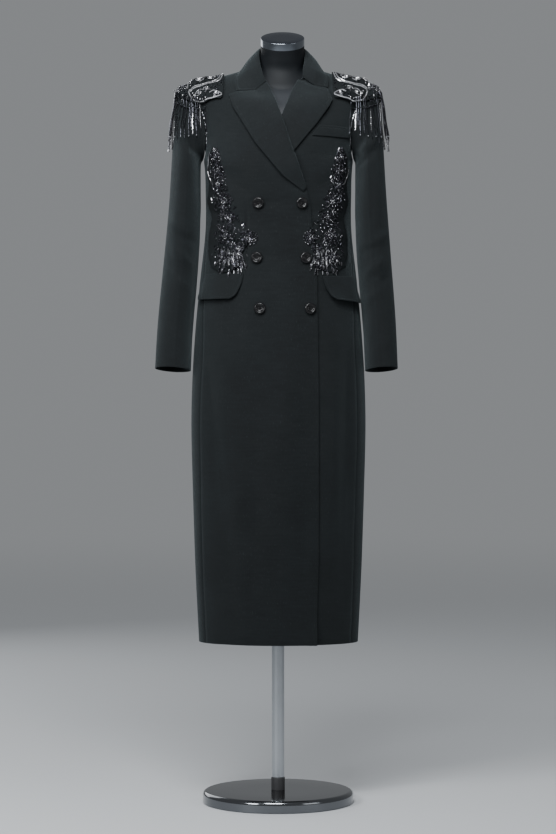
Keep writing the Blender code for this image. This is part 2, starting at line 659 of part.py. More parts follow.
def build_vines():
    rows, columns = 32, 8
    heights, inners, outers = zip(*reversed(VINE_WIDTHS))
    for name, side in (("beading_right", -1), ("beading_left", 1)):
        tree = cloth_tree(["front_right", "front_left"])
        outer, inner = [], []
        for i in range(rows):
            z = heights[0] + (heights[-1] - heights[0]) * i / (rows - 1)
            start, end = np.interp(z, heights, inners), np.interp(z, heights, outers)
            if side > 0:
                start = max(start, np.interp(z, *zip(*RIGHT_EDGE)) + VINE_FROM_EDGE)
            outer_row, inner_row = [], []
            for turn in np.linspace(math.asin(start / VINE_ROUND), math.asin(end / VINE_ROUND), columns):
                x = VINE_ROUND * math.sin(turn)
                raised = 0.0
                for flower_x, flower_z, radius in VINE_FLOWERS:
                    away = math.hypot(x - flower_x, z - flower_z) / radius
                    raised = max(raised, 1 - away * away)
                top = VINE_LAY + VINE_BASE + VINE_RAISE * raised
                outer_row.append(laid_on_front(tree, side * x, z, top))
                inner_row.append(laid_on_front(tree, side * x, z, VINE_LAY))
            outer.append(outer_row)
            inner.append(inner_row)
        cloth_wall(name, outer, inner, BEADS)


def farthest_hit(tree, centre, away, spread):
    """How far out from the centre the pieces reach round about here, over seams too."""
    best = -spread
    for shift_x, shift_y in ((0, 0), (-1, -1), (-1, 1), (1, -1), (1, 1)):
        aside = Vector((spread * shift_x, spread * shift_y, 0.0))
        hit = tree.ray_cast(centre + aside + 0.3 * away, -away, 0.33)[0]
        if hit is not None:
            best = max(best, (hit - centre - aside).dot(away))
    return best


def build_epaulettes():
    rows, columns = 17, 9
    for side, letter in ((-1, "right"), (1, "left")):
        tree = cloth_tree((f"front_{letter}", "back", f"sleeve_{letter}"))
        outer, inner = [], []
        for i in range(rows):
            at = i / (rows - 1) * (len(EPAULETTE_ROWS) - 1)
            x, front, back = through_rows(EPAULETTE_ROWS, at)
            centre = Vector((side * x, 0.0, SHOULDER_AXIS_Z))
            outer_row, inner_row = [], []
            for j in range(columns):
                turn = math.radians(front + (back - front) * j / (columns - 1))
                lean = side * 0.35 * ease(x, 0.18, 0.215)
                away = Vector((lean, -math.sin(turn), math.cos(turn))).normalized()
                low = farthest_hit(tree, centre, away, EPAULETTE_SEAM) + EPAULETTE_LAY
                lobe = abs(math.sin(3.2 * turn + 14 * x)) * math.sin(math.pi * (j + 0.5) / columns)
                high = low + EPAULETTE_BASE + EPAULETTE_RAISE * lobe
                outer_row.append(np.array(centre + high * away))
                inner_row.append(np.array(centre + low * away))
            outer.append(outer_row)
            inner.append(inner_row)
        cloth_wall(f"epaulette_{letter}", outer, inner, SILVER_BEADS)


def pushed_out(tree, axis, place, clear):
    """The place moved away from an upright axis until it is clear of the cloth."""
    away = Vector((place[0] - axis[0], place[1] - axis[1], 0.0)).normalized()
    reach = farthest_hit(tree, Vector(place), away, FRINGE_SEAM)
    return np.array(Vector(place) + away * max(reach + clear, 0.0))


def build_fringe():
    """Each strand is drawn out of its strip's lower side, so that strip and strands are one solid."""
    turns, heights, lengths = zip(*FRINGE_PATH)
    count = 2 * FRINGE_STRANDS + 1
    for side, letter in ((-1, "right"), (1, "left")):
        tree = cloth_tree((f"front_{letter}", "back", f"sleeve_{letter}"))
        axis = (side * FRINGE_AXIS_X, 0.0)
        made = bmesh.new()
        rings = []
        for turn in np.linspace(turns[0], turns[-1], count + 1):
            height = np.interp(turn, turns, heights)
            a = math.radians(turn)
            away = np.array((side * math.cos(a), math.sin(a), 0.0))
            start = np.array((*axis, height)) + 0.01 * away
            low = pushed_out(tree, axis, start, STRIP_LAY)
            high = pushed_out(tree, axis, start + np.array((0.0, 0.0, STRIP_HEIGHT)), STRIP_LAY)
            step = STRIP_THICK * away
            rings.append([made.verts.new(corner) for corner in (low, low + step, high + step, high)])
        roots = []
        for k in range(count):
            a, b = rings[k], rings[k + 1]
            faces = [made.faces.new((a[m], a[(m + 1) % 4], b[(m + 1) % 4], b[m])) for m in range(4)]
            if k % 2 == 1:
                roots.append((k, faces[0]))
        made.faces.new(rings[0])
        made.faces.new(rings[-1])
        for k, face in roots:
            turn = np.interp(k, (0, count), (turns[0], turns[-1]))
            length = np.interp(turn, turns, lengths) * (1 + STRAND_UNEVEN * math.sin(2.4 * k))
            for _ in range(STRAND_PARTS):
                face = bmesh.ops.extrude_discrete_faces(made, faces=[face])["faces"][0]
                middle = np.mean([np.array(vert.co) for vert in face.verts], axis=0)
                target = middle - np.array((0.0, 0.0, length / STRAND_PARTS))
                target = pushed_out(tree, axis, target, STRAND_LAY)
                for vert in face.verts:
                    from_middle = np.array(vert.co) - middle
                    vert.co = target + from_middle * np.array((STRAND_TAPER, STRAND_TAPER, 0.0))
        bmesh.ops.recalc_face_normals(made, faces=made.faces)
        new_object(f"fringe_{letter}", to_mesh(f"fringe_{letter}", made), SILVER_BEADS)


build_stand()
build_form()
build_cap()
build_body()
build_sleeve("right", -1)
build_sleeve("left", 1)
build_lapel("lapel_right", LAPEL_RIGHT, "front_right", overlap_lift, False)
build_lapel("lapel_left", LAPEL_LEFT, "front_left", lambda x, z: 0.0, True)
build_collar()
build_flaps()
build_welt()
build_buttons()
build_vines()
build_epaulettes()
build_fringe()
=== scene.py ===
import json
import math
import random

import bmesh
import bpy
import numpy as np
from mathutils import Matrix, Vector, noise
from mathutils.bvhtree import BVHTree

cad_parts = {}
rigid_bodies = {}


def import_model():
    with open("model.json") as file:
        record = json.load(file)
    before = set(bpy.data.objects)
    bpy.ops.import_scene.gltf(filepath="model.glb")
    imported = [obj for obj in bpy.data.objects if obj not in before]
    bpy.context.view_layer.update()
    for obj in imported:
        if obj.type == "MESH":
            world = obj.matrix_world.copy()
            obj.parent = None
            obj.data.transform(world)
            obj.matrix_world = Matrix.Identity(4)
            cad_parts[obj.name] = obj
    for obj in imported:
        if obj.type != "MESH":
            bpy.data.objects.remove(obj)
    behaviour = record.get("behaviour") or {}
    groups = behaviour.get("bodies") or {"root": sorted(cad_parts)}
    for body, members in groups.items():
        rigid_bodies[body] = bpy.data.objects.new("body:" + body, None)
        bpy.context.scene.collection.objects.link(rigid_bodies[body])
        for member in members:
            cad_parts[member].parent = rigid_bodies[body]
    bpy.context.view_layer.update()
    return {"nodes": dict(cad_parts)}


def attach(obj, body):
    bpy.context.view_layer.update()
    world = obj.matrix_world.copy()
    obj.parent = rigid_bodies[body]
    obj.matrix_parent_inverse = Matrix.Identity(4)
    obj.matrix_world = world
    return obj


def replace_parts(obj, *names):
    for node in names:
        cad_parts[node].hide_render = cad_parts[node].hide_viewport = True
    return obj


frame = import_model()
random.seed(7)
print("frame loaded:", len(frame["nodes"]), "nodes")

wall = 0.002
gap = 0.0003
lay = 0.0009
hands = ((-1, "Right"), (1, "Left"))


def mm(*rows):
    return np.array(rows) / 1000


# the coat's outer surface, in rings from the hem up to the neckline
coat = {
    # height at the side, front and back, half width, depth in front and behind, fullness in thousandths, centre
    "rings": mm(
        (365, 365, 365, 178, 114, 124, 140, 1), (530, 530, 530, 186.5, 119, 130, 140, 1),
        (700, 700, 700, 192.5, 123, 136, 140, 1), (840, 840, 840, 196, 126, 140, 130, 1),
        (950, 950, 950, 193.8, 127, 140, 120, 1), (1060, 1060, 1060, 187, 125, 131, 120, 1),
        (1170, 1170, 1170, 176.5, 121, 114, 120, 1), (1285, 1285, 1285, 164, 119, 101, 120, 1),
        (1370, 1370, 1370, 163.5, 129, 104, 120, 1), (1445, 1445, 1445, 167.5, 137, 112, 100, 1),
        (1535, 1500, 1530, 186, 131, 119, -20, 1), (1613, 1550, 1590, 198, 113, 112, -260, 2),
        (1631, 1577, 1630, 138, 93, 95, -220, 6), (1652, 1600, 1666, 65.5, 73, 62, -50, 9)),
    "hip": 3.0, "underarm": 9.0, "shoulder": 11.0, "neckline": 13.0,
    "sideSeam": 64.0, "seamHalf": 0.06, "armholeFront": 27.0, "armholeBack": 24.0,
    "fluteDepth": 0.0035, "flutes": 5,
    # the fronts' edges: height and place across
    "rightEdge": mm(
        (365, 85), (550, 90), (910, 90), (1180, 85.7), (1236, 77.5), (1335, 70.8), (1366, 64.5), (1527, 7.9),
        (1598, -17.8), (1617, -27.6)),
    "leftEdge": mm((365, -50), (1180, -50), (1335, -48), (1366, -44), (1527, 8.5), (1598, 37), (1617, 47.6)),
    "underlap": (-0.112, -0.062), "kick": 0.007,
}


def throughRows(table, at):
    rows = np.asarray(table)
    last = len(rows) - 1
    i = min(max(int(at), 0), last - 1)
    f = at - i
    before, here, there, after = rows[max(i - 1, 0)], rows[i], rows[i + 1], rows[min(i + 2, last)]
    square = (2 * before - 5 * here + 4 * there - after) * f**2
    cube = (3 * here - before - 3 * there + after) * f**3
    return 0.5 * (2 * here + (there - before) * f + square + cube)


def ease(value, low, high):
    f = min(max((value - low) / (high - low), 0.0), 1.0)
    return f * f * (3 - 2 * f)


def between(pair, share):
    return pair[0] + (pair[1] - pair[0]) * share


def runs(steps):
    return np.concatenate([[0.0], np.cumsum(steps)])


def along(points, at):
    points = np.asarray(points)
    reached = runs(np.linalg.norm(np.diff(points, axis=0), axis=1))
    return np.array([np.interp(at * reached[-1], reached, column) for column in points.T])


def sinCos(angle):
    return math.sin(math.radians(angle)), math.cos(math.radians(angle))


def polar(u, v, reach, a):
    return u + reach * math.cos(a), v + reach * math.sin(a)


def gridOf(rows, columns, spot):
    return [[spot(up, across) for across in np.linspace(0, 1, columns)] for up in np.linspace(0, 1, rows)]


def coatSurface(angle, level):
    sideZ, frontZ, backZ, half, front, back, fullness, centre = throughRows(coat["rings"], level)
    s, c = sinCos(angle)
    depth, endZ = (front, frontZ) if c > 0 else (back, backZ)
    wave = math.cos(math.radians(coat["flutes"] * angle)) * abs(s) ** 0.5
    grow = 1 + coat["fluteDepth"] * (1 - ease(level, 0.0, coat["hip"])) * wave / half
    y = -depth * c * (1 + fullness * s * s)
    return np.array((centre + half * s * grow, y * grow, sideZ + (endZ - sideZ) * c * c))


def coatNormal(angle, level):
    below, above = max(level - 0.02, 0.0), min(level + 0.02, coat["neckline"])
    across = coatSurface(angle + 1, level) - coatSurface(angle - 1, level)
    normal = np.cross(across, coatSurface(angle, above) - coatSurface(angle, below))
    return normal / np.linalg.norm(normal)


def coatPoint(angle, level, out=0.0):
    return coatSurface(angle, level) + out * coatNormal(angle, level)


def angleAt(x, level):
    ring = throughRows(coat["rings"], level)
    return math.degrees(math.asin(min(max((x - ring[7]) / ring[3], -1.0), 1.0)))


def onFront(x, z):
    # the place on the coat's front and its normal
    low, high = 0.0, coat["neckline"]
    for _ in range(18):
        level = (low + high) / 2
        if coatSurface(angleAt(x, level), level)[2] < z:
            low = level
        else:
            high = level
    return coatSurface(angleAt(x, level), level), coatNormal(angleAt(x, level), level)


def edgeAngle(edge, level):
    angle = 0.0
    for _ in range(6):
        angle = angleAt(np.interp(coatSurface(angle, level)[2], *zip(*edge)), level)
    return angle


def sideAngle(level, reach):
    if level <= coat["underarm"]:
        return coat["sideSeam"] + (90 - coat["sideSeam"]) * ease(level, 4.5, coat["underarm"])
    if level >= coat["shoulder"]:
        return 90.0
    return 90 - reach * math.sqrt(max(1 - (level - 10) ** 2, 0.0))


def overlapLift(x, z):
    over = ease(x, *coat["underlap"]) * (1 - ease(z, 1.555, 1.6))
    crossing = ease(x, -0.08, -0.035) * ease(z, 1.37, 1.43) * (1 - ease(z, 1.55, 1.6))
    corner = ease(x, 0.045, 0.09) * (1 - ease(z, 0.365, 0.43))
    return (over + crossing) * (wall + lay) + coat["kick"] * corner


# soft troughs (-) and ridges (+): from and to across and up, width, depth
# the front's last two are the pressed dart and the pull at the hem's corner
folds = {
    "strength": {"front": 1.7, "back": 1.5, "sleeve": 1.9},
    "front": mm(
        (-150, 1330, -60, 1300, 11, -1.6), (-140, 1300, -50, 1262, 9, 1.3), (-120, 1180, -58, 1222, 10, -1.1),
        (85, 1226, 150, 1180, 11, -1.3), (80, 1340, 140, 1300, 12, -1.4), (84, 1310, 150, 1270, 10, 1.2),
        (-36, 1345, 46, 1346, 12, -0.9), (-40, 1228, 55, 1223, 14, -1), (-145, 1455, -80, 1420, 16, 1.6),
        (-130, 1425, -70, 1370, 14, -1.4), (145, 1450, 85, 1405, 15, 1.4), (135, 1415, 85, 1365, 13, -1.3),
        (-165, 1030, -118, 620, 24, -3), (-120, 1080, -85, 480, 26, 2.4), (-55, 1020, -45, 420, 30, -2.2),
        (20, 1060, 12, 500, 28, 1.6), (70, 1050, 55, 400, 22, -2), (120, 1060, 128, 560, 22, 2.6),
        (155, 1040, 150, 480, 20, -2.8), (-100, 840, 60, 812, 14, -0.7), (-10, 640, 120, 600, 12, -0.7),
        (-68.5, 1334, -67.5, 1195, 3.4, -1.5), (40, 480, 78, 372, 16, 2)).tolist(),
    "back": mm(
        (-120, 1335, -20, 1300, 12, -2), (118, 1325, 30, 1292, 11, -1.8), (-110, 1290, -10, 1262, 12, 1.6),
        (105, 1280, 15, 1250, 12, 1.5), (-150, 1500, -80, 1430, 14, -2), (150, 1495, 85, 1425, 13, -2),
        (-60, 1625, 0, 1612, 12, -1.2), (55, 1622, 10, 1604, 10, -1), (-130, 1080, -110, 430, 28, -3.2),
        (-70, 1090, -60, 400, 30, 2.6), (0, 1060, 10, 380, 26, -2.4), (65, 1080, 75, 460, 28, 2.8),
        (130, 1070, 125, 400, 24, -3), (-180, 980, -175, 480, 18, 2.2), (180, 960, 172, 520, 18, 2)).tolist(),
    # across a sleeve: its arc from the top, counted towards the front
    "sleeve": mm(
        (30, 1520, 120, 1470, 10, -2.2), (50, 1480, 130, 1440, 9, 1.6), (20, 1300, 100, 1262, 10, -2),
        (60, 1270, 130, 1246, 9, 1.5), (50, 1236, 120, 1196, 9, -2.4), (10, 1205, 80, 1180, 8, 1.4),
        (70, 1165, 125, 1140, 8, -1.2), (215, 1300, 290, 1250, 10, -2.2), (210, 1240, 280, 1200, 9, 1.6),
        (230, 1190, 300, 1170, 9, -1.8), (60, 1400, 85, 1060, 18, -1.6), (255, 1420, 245, 1040, 18, -1.4),
        (30, 1060, 110, 1030, 10, -0.9), (240, 1110, 300, 1080, 10, -1)).tolist(),
}


def foldLift(kind, across, up, seed):
    lift = 0.0008 * noise.noise(Vector((across * 9, up * 5, seed)))
    lift += 0.0004 * noise.noise(Vector((across * 40, up * 26, seed + 3)))
    for x0, z0, x1, z1, width, depth in folds[kind]:
        runX, runZ = x1 - x0, z1 - z0
        share = ((across - x0) * runX + (up - z0) * runZ) / (runX * runX + runZ * runZ)
        if not -0.25 < share < 1.25:
            continue
        wander = 0.25 * width * math.sin(7 * share + 40 * x0)
        off = abs((across - x0) * runZ - (up - z0) * runX) / math.hypot(runX, runZ) + wander
        deep = depth * folds["strength"][kind] * math.exp(-((off / width) ** 2))
        lift += deep * ease(share, -0.2, 0.3) * (1 - ease(share, 0.65, 1.2))
    return lift


class Finish:
    # a material whose nodes are fed by name: another node's output, a value or a setting
    def __init__(self, name, **values):
        self.made = bpy.data.materials.new(name)
        self.made.use_nodes = True
        self.tree = self.made.node_tree
        self.shader = self.tree.nodes["Principled BSDF"]
        self.place = self.add("TexCoord").outputs["Object"]
        self.feed(self.shader, **values)

    def feed(self, node, **values):
        for key, value in values.items():
            socket = node.inputs.get(key.replace("_", " "))
            if isinstance(value, bpy.types.NodeSocket):
                self.tree.links.new(value, socket)
            elif socket is None:
                setattr(node, key, value)
            elif socket.type == "RGBA":
                socket.default_value = (*value, 1)
            else:
                socket.default_value = value
        return node

    def add(self, kind, **values):
        return self.feed(self.tree.nodes.new("ShaderNode" + kind), **values)

    def calc(self, operation, *values):
        node = self.add("Math", operation=operation)
        for socket, value in zip(node.inputs, values):
            if isinstance(value, bpy.types.NodeSocket):
                self.tree.links.new(value, socket)
            else:
                socket.default_value = value
        return node.outputs[0]

    def cloud(self, place, scale, detail, roughness=0.5):
        return self.add("TexNoise", Vector=place, Scale=scale, Detail=detail, Roughness=roughness).outputs["Fac"]

    def mix(self, share, first, second):
        return self.add("Mix", data_type="RGBA", Factor=share, A=first, B=second).outputs["Result"]

    def ramp(self, share, first, last, *others):
        node = self.add("ValToRGB", Fac=share)
        elements = node.color_ramp.elements
        for k, (position, colour) in enumerate((first, last)):
            elements[k].position = position
            elements[k].color = (*colour, 1)
        for position, colour in others:
            elements.new(position).color = (*colour, 1)
        return node.outputs["Color"]

    def bump(self, height, strength, distance):
        return self.add("Bump", Strength=strength, Distance=distance, Height=height).outputs[0]


wool = {
    "dark": (0.0026, 0.0033, 0.0037), "light": (0.0078, 0.0095, 0.0104), "fibre": (0.024, 0.028, 0.03),
    "roughness": 0.88, "sheen": 0.1, "sheenRoughness": 0.5, "sheenTint": (0.62, 0.76, 0.8), "specular": 0.13,
    "nap": (520.0, 130.0, 1.0), "streaks": (26.0, 210.0, 1.0), "bump": (0.65, 0.0007),
    "twill": 0.0016, "stitchFrom": 0.0055, "stitchHalf": 0.00035, "stitchPitch": 0.0042,
}


def woolMaterial():
    finish = Finish(
        "blackWoolStitched", Base_Color=wool["light"], Sheen_Weight=wool["sheen"], Sheen_Tint=wool["sheenTint"],
        Sheen_Roughness=wool["sheenRoughness"], Specular_IOR_Level=wool["specular"])
    calc = finish.calc
    cut, edge = (finish.add("UVMap", uv_map=name).outputs[0] for name in ("cut", "edge"))
    patches = finish.cloud(finish.place, 9.0, 3.0, 0.55)
    nap = finish.cloud(finish.add("Mapping", Vector=cut, Scale=wool["nap"]).outputs[0], 1.0, 4.0, 0.6)
    streaks = finish.cloud(finish.add("Mapping", Vector=cut, Scale=wool["streaks"]).outputs[0], 1.0, 2.0)
    tone = calc("MULTIPLY_ADD", streaks, 0.3, calc("MULTIPLY", patches, 0.45))
    tone = finish.ramp(calc("MULTIPLY_ADD", nap, 0.3, tone), (0.3, wool["dark"]), (0.68, wool["light"]))
    colour = finish.mix(calc("MULTIPLY", calc("GREATER_THAN", nap, 0.66), 0.6), tone, wool["fibre"])
    # fine diagonal ribs, and topstitching in a shallow trough near the edge
    x, y = finish.add("SeparateXYZ", Vector=cut).outputs[:2]
    twill = calc("SINE", calc("MULTIPLY", calc("ADD", x, y), 2 * math.pi / wool["twill"]))
    inward, run = finish.add("SeparateXYZ", Vector=edge).outputs[:2]
    off = calc("ABSOLUTE", calc("SUBTRACT", inward, wool["stitchFrom"]))
    dash = calc("LESS_THAN", calc("FRACT", calc("DIVIDE", run, wool["stitchPitch"])), 0.62)
    stitch = calc("MULTIPLY", calc("LESS_THAN", off, wool["stitchHalf"]), dash)
    height = calc("MULTIPLY_ADD", twill, 0.25, nap)
    height = calc("MULTIPLY_ADD", calc("LESS_THAN", off, 3 * wool["stitchHalf"]), -1.6, height)
    height = calc("MULTIPLY_ADD", stitch, 1.9, height)
    finish.feed(
        finish.shader, Base_Color=colour, Normal=finish.bump(height, *wool["bump"]),
        Roughness=calc("MULTIPLY_ADD", patches, 0.16, wool["roughness"] - 0.1))
    return finish.made


# plain finishes: colour, its second tone, roughness, metallic, specular, the cloud's scale and depth
finishes = {
    "blackHorn": ((0.003, 0.003, 0.0035), (0.008, 0.008, 0.0085), 0.22, 0.0, 0.26, 40.0, 0.00002),
    "blackThread": ((0.006, 0.006, 0.007), (0.015, 0.015, 0.016), 0.8, 0.0, 0.5, 900.0, 0.0001),
    "blackNet": ((0.0035, 0.0045, 0.005), (0.01, 0.012, 0.013), 0.92, 0.0, 0.12, 1400.0, 0.0003),
    "capSteel": ((0.17, 0.19, 0.22), (0.24, 0.26, 0.29), 0.16, 1.0, 0.5, 25.0, 0.00005),
    "capFace": ((0.016, 0.028, 0.056), (0.028, 0.044, 0.08), 0.22, 1.0, 0.5, 25.0, 0.00005),
    "baseChrome": ((0.13, 0.137, 0.147), (0.17, 0.177, 0.187), 0.12, 1.0, 0.5, 8.0, 0.00002),
    "footRubber": ((0.012, 0.012, 0.013), (0.03, 0.03, 0.032), 0.55, 0.0, 0.5, 120.0, 0.00005),
    "poleSteel": ((0.36, 0.38, 0.4), (0.48, 0.5, 0.52), 0.26, 1.0, 0.5, 18.0, 0.00003),
}


def glossMaterial(name, colour, other, roughness, metallic, specular, scale, depth):
    finish = Finish(name, Base_Color=colour, Metallic=metallic, Specular_IOR_Level=specular)
    cloud = finish.cloud(finish.place, scale, 3.0, 0.6)
    finish.feed(
        finish.shader, Base_Color=finish.mix(cloud, colour, other), Normal=finish.bump(cloud, 0.4, depth),
        Roughness=finish.calc("MULTIPLY_ADD", cloud, 0.1, roughness - 0.05))
    return finish.made


woolStitched = woolMaterial()
gloss = {name: glossMaterial(name, *row) for name, row in finishes.items()}
print("wool and plain finishes ready")


# mesh helpers
def inScene(name, data):
    thing = bpy.data.objects.new(name, data)
    bpy.context.scene.collection.objects.link(thing)
    return thing


def modify(piece, name, kind, **values):
    modifier = piece.modifiers.new(name, kind)
    for key, value in values.items():
        setattr(modifier, key, value)


def gridMesh(points):
    points = np.asarray(points)
    rows, columns = points.shape[:2]
    made = bmesh.new()
    verts = bmesh.ops.create_grid(made, x_segments=columns - 1, y_segments=rows - 1, size=1.0)["verts"]
    for vert, place in zip(verts, points.reshape(-1, 3)):
        vert.co = place
    return made, verts


def pieceFrom(name, made, material, sharp=None):
    mesh = bpy.data.meshes.new(name)
    made.to_mesh(mesh)
    made.free()
    mesh.shade_smooth()
    if sharp:
        mesh.set_sharp_from_angle(angle=math.radians(sharp))
    mesh.materials.append(material)
    piece = inScene(name, mesh)
    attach(piece, "root")
    return piece


def clothShell(name, points, material=woolStitched, axis=(0.0, 0.0), closed=False, thickness=wall, edges=()):
    points = np.asarray(points)
    across = runs(np.linalg.norm(np.diff(points, axis=1), axis=2).mean(axis=0))
    up = runs(np.linalg.norm(np.diff(points, axis=0), axis=2).mean(axis=1))
    made, verts = gridMesh(points)
    cutMap, edgeMap = (made.loops.layers.uv.new(layer) for layer in ("cut", "edge"))
    spots = {}
    for k, vert in enumerate(verts):
        row, column = divmod(k, len(across))
        u, v = across[column], up[row]
        near = {"left": (u, v), "right": (across[-1] - u, v), "low": (v, u), "high": (up[-1] - v, u)}
        spots[vert] = ((u, v), min([(9.0, 0.0), *(near[edge] for edge in edges)]))
    for face in made.faces:
        for loop in face.loops:
            loop[cutMap].uv, loop[edgeMap].uv = spots[loop.vert]
    if closed:
        bmesh.ops.remove_doubles(made, verts=made.verts, dist=1e-6)
    facing = 0.0
    for face in made.faces:
        centre = face.calc_center_median()
        facing += face.normal.dot(centre - Vector((*axis, centre.z))) * face.calc_area()
    if facing < 0:
        bmesh.ops.reverse_faces(made, faces=made.faces)
    piece = pieceFrom(name, made, material)
    modify(piece, "Wall", "SOLIDIFY", thickness=thickness, offset=-1, use_quality_normals=True)
    modify(piece, "TurnedEdge", "BEVEL", width=0.3 * thickness, segments=2, limit_method="ANGLE",
           angle_limit=math.radians(55))
    return piece


def solidPiece(name, points, material):
    made, _ = gridMesh(points)
    bmesh.ops.remove_doubles(made, verts=made.verts, dist=1e-6)
    bmesh.ops.recalc_face_normals(made, faces=made.faces)
    return pieceFrom(name, made, material, sharp=35)


def clothTree(*names):
    graph = bpy.context.evaluated_depsgraph_get()
    made = bmesh.new()
    for name in names:
        made.from_mesh(bpy.data.meshes.new_from_object(bpy.data.objects[name].evaluated_get(graph)))
    tree = BVHTree.FromBMesh(made)
    made.free()
    return tree


def laidOn(tree, place, away, out, reach=0.012):
    place, away = Vector(place), Vector(away).normalized()
    hit = tree.ray_cast(place + reach * away, -away, 2 * reach)[0]
    return np.array((hit or place) + float(out) * away)


def laidOnFront(tree, x, z, out, base=0.0):
    place, away = onFront(x, z)
    return laidOn(tree, place + base * away, away, out)


def farthestHit(tree, centre, away, spread):
    best = -spread
    for shiftX, shiftY in ((0, 0), (-1, -1), (-1, 1), (1, -1), (1, 1)):
        aside = Vector((spread * shiftX, spread * shiftY, 0.0))
        hit = tree.ray_cast(centre + aside + 0.3 * away, -away, 0.33)[0]
        if hit is not None:
            best = max(best, (hit - centre - aside).dot(away))
    return best


# the coat's fronts and back
panels = {"rows": 200, "crowd": 0.86, "seamDip": 0.0011, "seamWidth": 0.0045, "radius": 0.17}


def bodyPanel(name, node, start, end, columns, seams, edges, lift=None):
    points = []
    for k in range(panels["rows"]):
        # closer together above the waist, where the form turns faster
        level = coat["neckline"] * (k / (panels["rows"] - 1)) ** panels["crowd"]
        row = []
        for angle in np.linspace(start(level), end(level), columns):
            x, _, z = coatSurface(angle, level)
            s, c = sinCos(angle)
            fade = (1 - ease(abs(s), 0.93, 0.99)) * (1 - ease(z, 1.56, 1.62))
            out = foldLift("front" if c > 0 else "back", x, z, 1.0) * fade
            if lift:
                out += lift(x, z)
            for seam in seams:
                off = math.radians(angle - seam(level)) * panels["radius"]
                out -= panels["seamDip"] * math.exp(-((off / panels["seamWidth"]) ** 2))
            row.append(coatPoint(angle, level, out))
        points.append(row)
    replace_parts(clothShell(name, points, edges=edges), node)


def leftSide(level):
    return sideAngle(level, coat["armholeFront"]) - coat["seamHalf"]


def rightSide(level):
    return -leftSide(level)


def backStart(level):
    if level <= coat["underarm"]:
        return sideAngle(level, 0.0) + coat["seamHalf"]
    if level >= coat["shoulder"]:
        return 90 + coat["seamHalf"]
    return 180 - sideAngle(level, coat["armholeBack"])


def backEnd(level):
    return 360 - backStart(level)


bodyPanel("frontRight", "front_right", rightSide, lambda level: edgeAngle(coat["rightEdge"], level),
          112, (rightSide,), ("right",), overlapLift)
bodyPanel("frontLeft", "front_left", lambda level: edgeAngle(coat["leftEdge"], level), leftSide,
          84, (leftSide,), ("left",))
bodyPanel("coatBack", "back", backStart, backEnd, 110, (backStart, backEnd), ())
print("fronts and back ready")

# sleeves, in rings from the armhole to the cuff
sleeve = {
    # the outer side's x and z, the inner side's, the middle's y, half depth, rise towards the front
    "rings": mm(
        (200, 1613, 168.5, 1445, 2, 55, 0), (218, 1604, 172.4, 1438, 0, 60, 0),
        (230.5, 1568, 173.2, 1422, -1, 64, 0), (236.5, 1475, 173.2, 1390, -2, 64, 1),
        (244, 1355, 173.5, 1320, 0, 62, 1), (253.8, 1238, 178.5, 1215, 2, 57, 0),
        (266, 1090, 190.5, 1075, -12, 51, 4), (271.2, 979, 195, 974, -32, 46, 6.5)),
    "spread": {-1: 0.004, 1: -0.003}, "blend": 2.4, "clear": 0.0019, "radius": 0.052, "axis": (0.208, -0.008),
    "around": 88, "down": 130, "crowd": 1.12, "seams": (98.0, 262.0), "seamDip": 0.001, "seamWidth": 0.004,
    "headPuff": 0.0016,
}


def armholePoint(side, turn):
    s, c = sinCos(turn)
    place = coatSurface(side * (90 - coat["armholeFront" if s > 0 else "armholeBack"] * s), 10 + c)
    place[0] += side * (gap + sleeve["clear"] * c * c)
    return place


def sleeveSurface(side, turn, ring):
    s, c = sinCos(turn)

    def oval(xOut, zOut, xIn, zIn, y, depth, lift):
        x = (xOut + xIn) / 2 + (xOut - xIn) / 2 * c
        z = (zOut + zIn) / 2 + (zOut - zIn) / 2 * c + lift * s
        return np.array((side * x, y - depth * s, z))

    outerX, *rest = throughRows(sleeve["rings"], ring)
    place = oval(outerX + sleeve["spread"][side] * ease(ring, 4.0, 7.0), *rest)
    if ring < sleeve["blend"]:
        start = oval(*sleeve["rings"][0])
        place = place + (armholePoint(side, turn) - start) * (1 - ring / sleeve["blend"]) ** 2
    return place


def sleevePoint(side, turn, ring, out):
    last = len(sleeve["rings"]) - 1.0
    lower, upper = min(ring + 0.02, last), max(ring - 0.02, 0.0)
    roundIt = sleeveSurface(side, turn + 2, ring) - sleeveSurface(side, turn - 2, ring)
    down = sleeveSurface(side, turn, lower) - sleeveSurface(side, turn, upper)
    normal = side * np.cross(down, roundIt)
    return sleeveSurface(side, turn, ring) + out * normal / np.linalg.norm(normal)


def sleevePiece(side, hand):
    last = len(sleeve["rings"]) - 1

    def spot(up, share):
        ring, turn = last * (1 - up) ** sleeve["crowd"], 360 * share
        z = sleeveSurface(side, turn, ring)[2]
        out = foldLift("sleeve", math.radians(turn % 360) * sleeve["radius"], z + 0.012 * side, 4.0 + side)
        out *= ease(ring, 0.15, 1.1) * (1 - ease(ring, last - 0.25, last))
        out *= 1 - ease(abs(turn % 360 - 180), 150, 180)
        out += sleeve["headPuff"] * math.exp(-(((ring - 0.32) / 0.25) ** 2)) * (1 + sinCos(turn)[1]) / 2
        for seam in sleeve["seams"]:
            off = math.radians(turn - seam) * sleeve["radius"]
            out -= sleeve["seamDip"] * math.exp(-((off / sleeve["seamWidth"]) ** 2)) * ease(ring, 0.3, 1.0)
        return sleevePoint(side, turn, ring, out)

    points = np.array(gridOf(sleeve["down"], sleeve["around"] + 1, spot))
    points[:, -1] = points[:, 0]
    axisX, axisY = sleeve["axis"]
    piece = clothShell("sleeve" + hand, points, axis=(side * axisX, axisY), closed=True)
    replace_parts(piece, "sleeve_" + hand.lower(), "undersleeve_" + hand.lower())


for side, hand in hands:
    sleevePiece(side, hand)
print("sleeves ready")

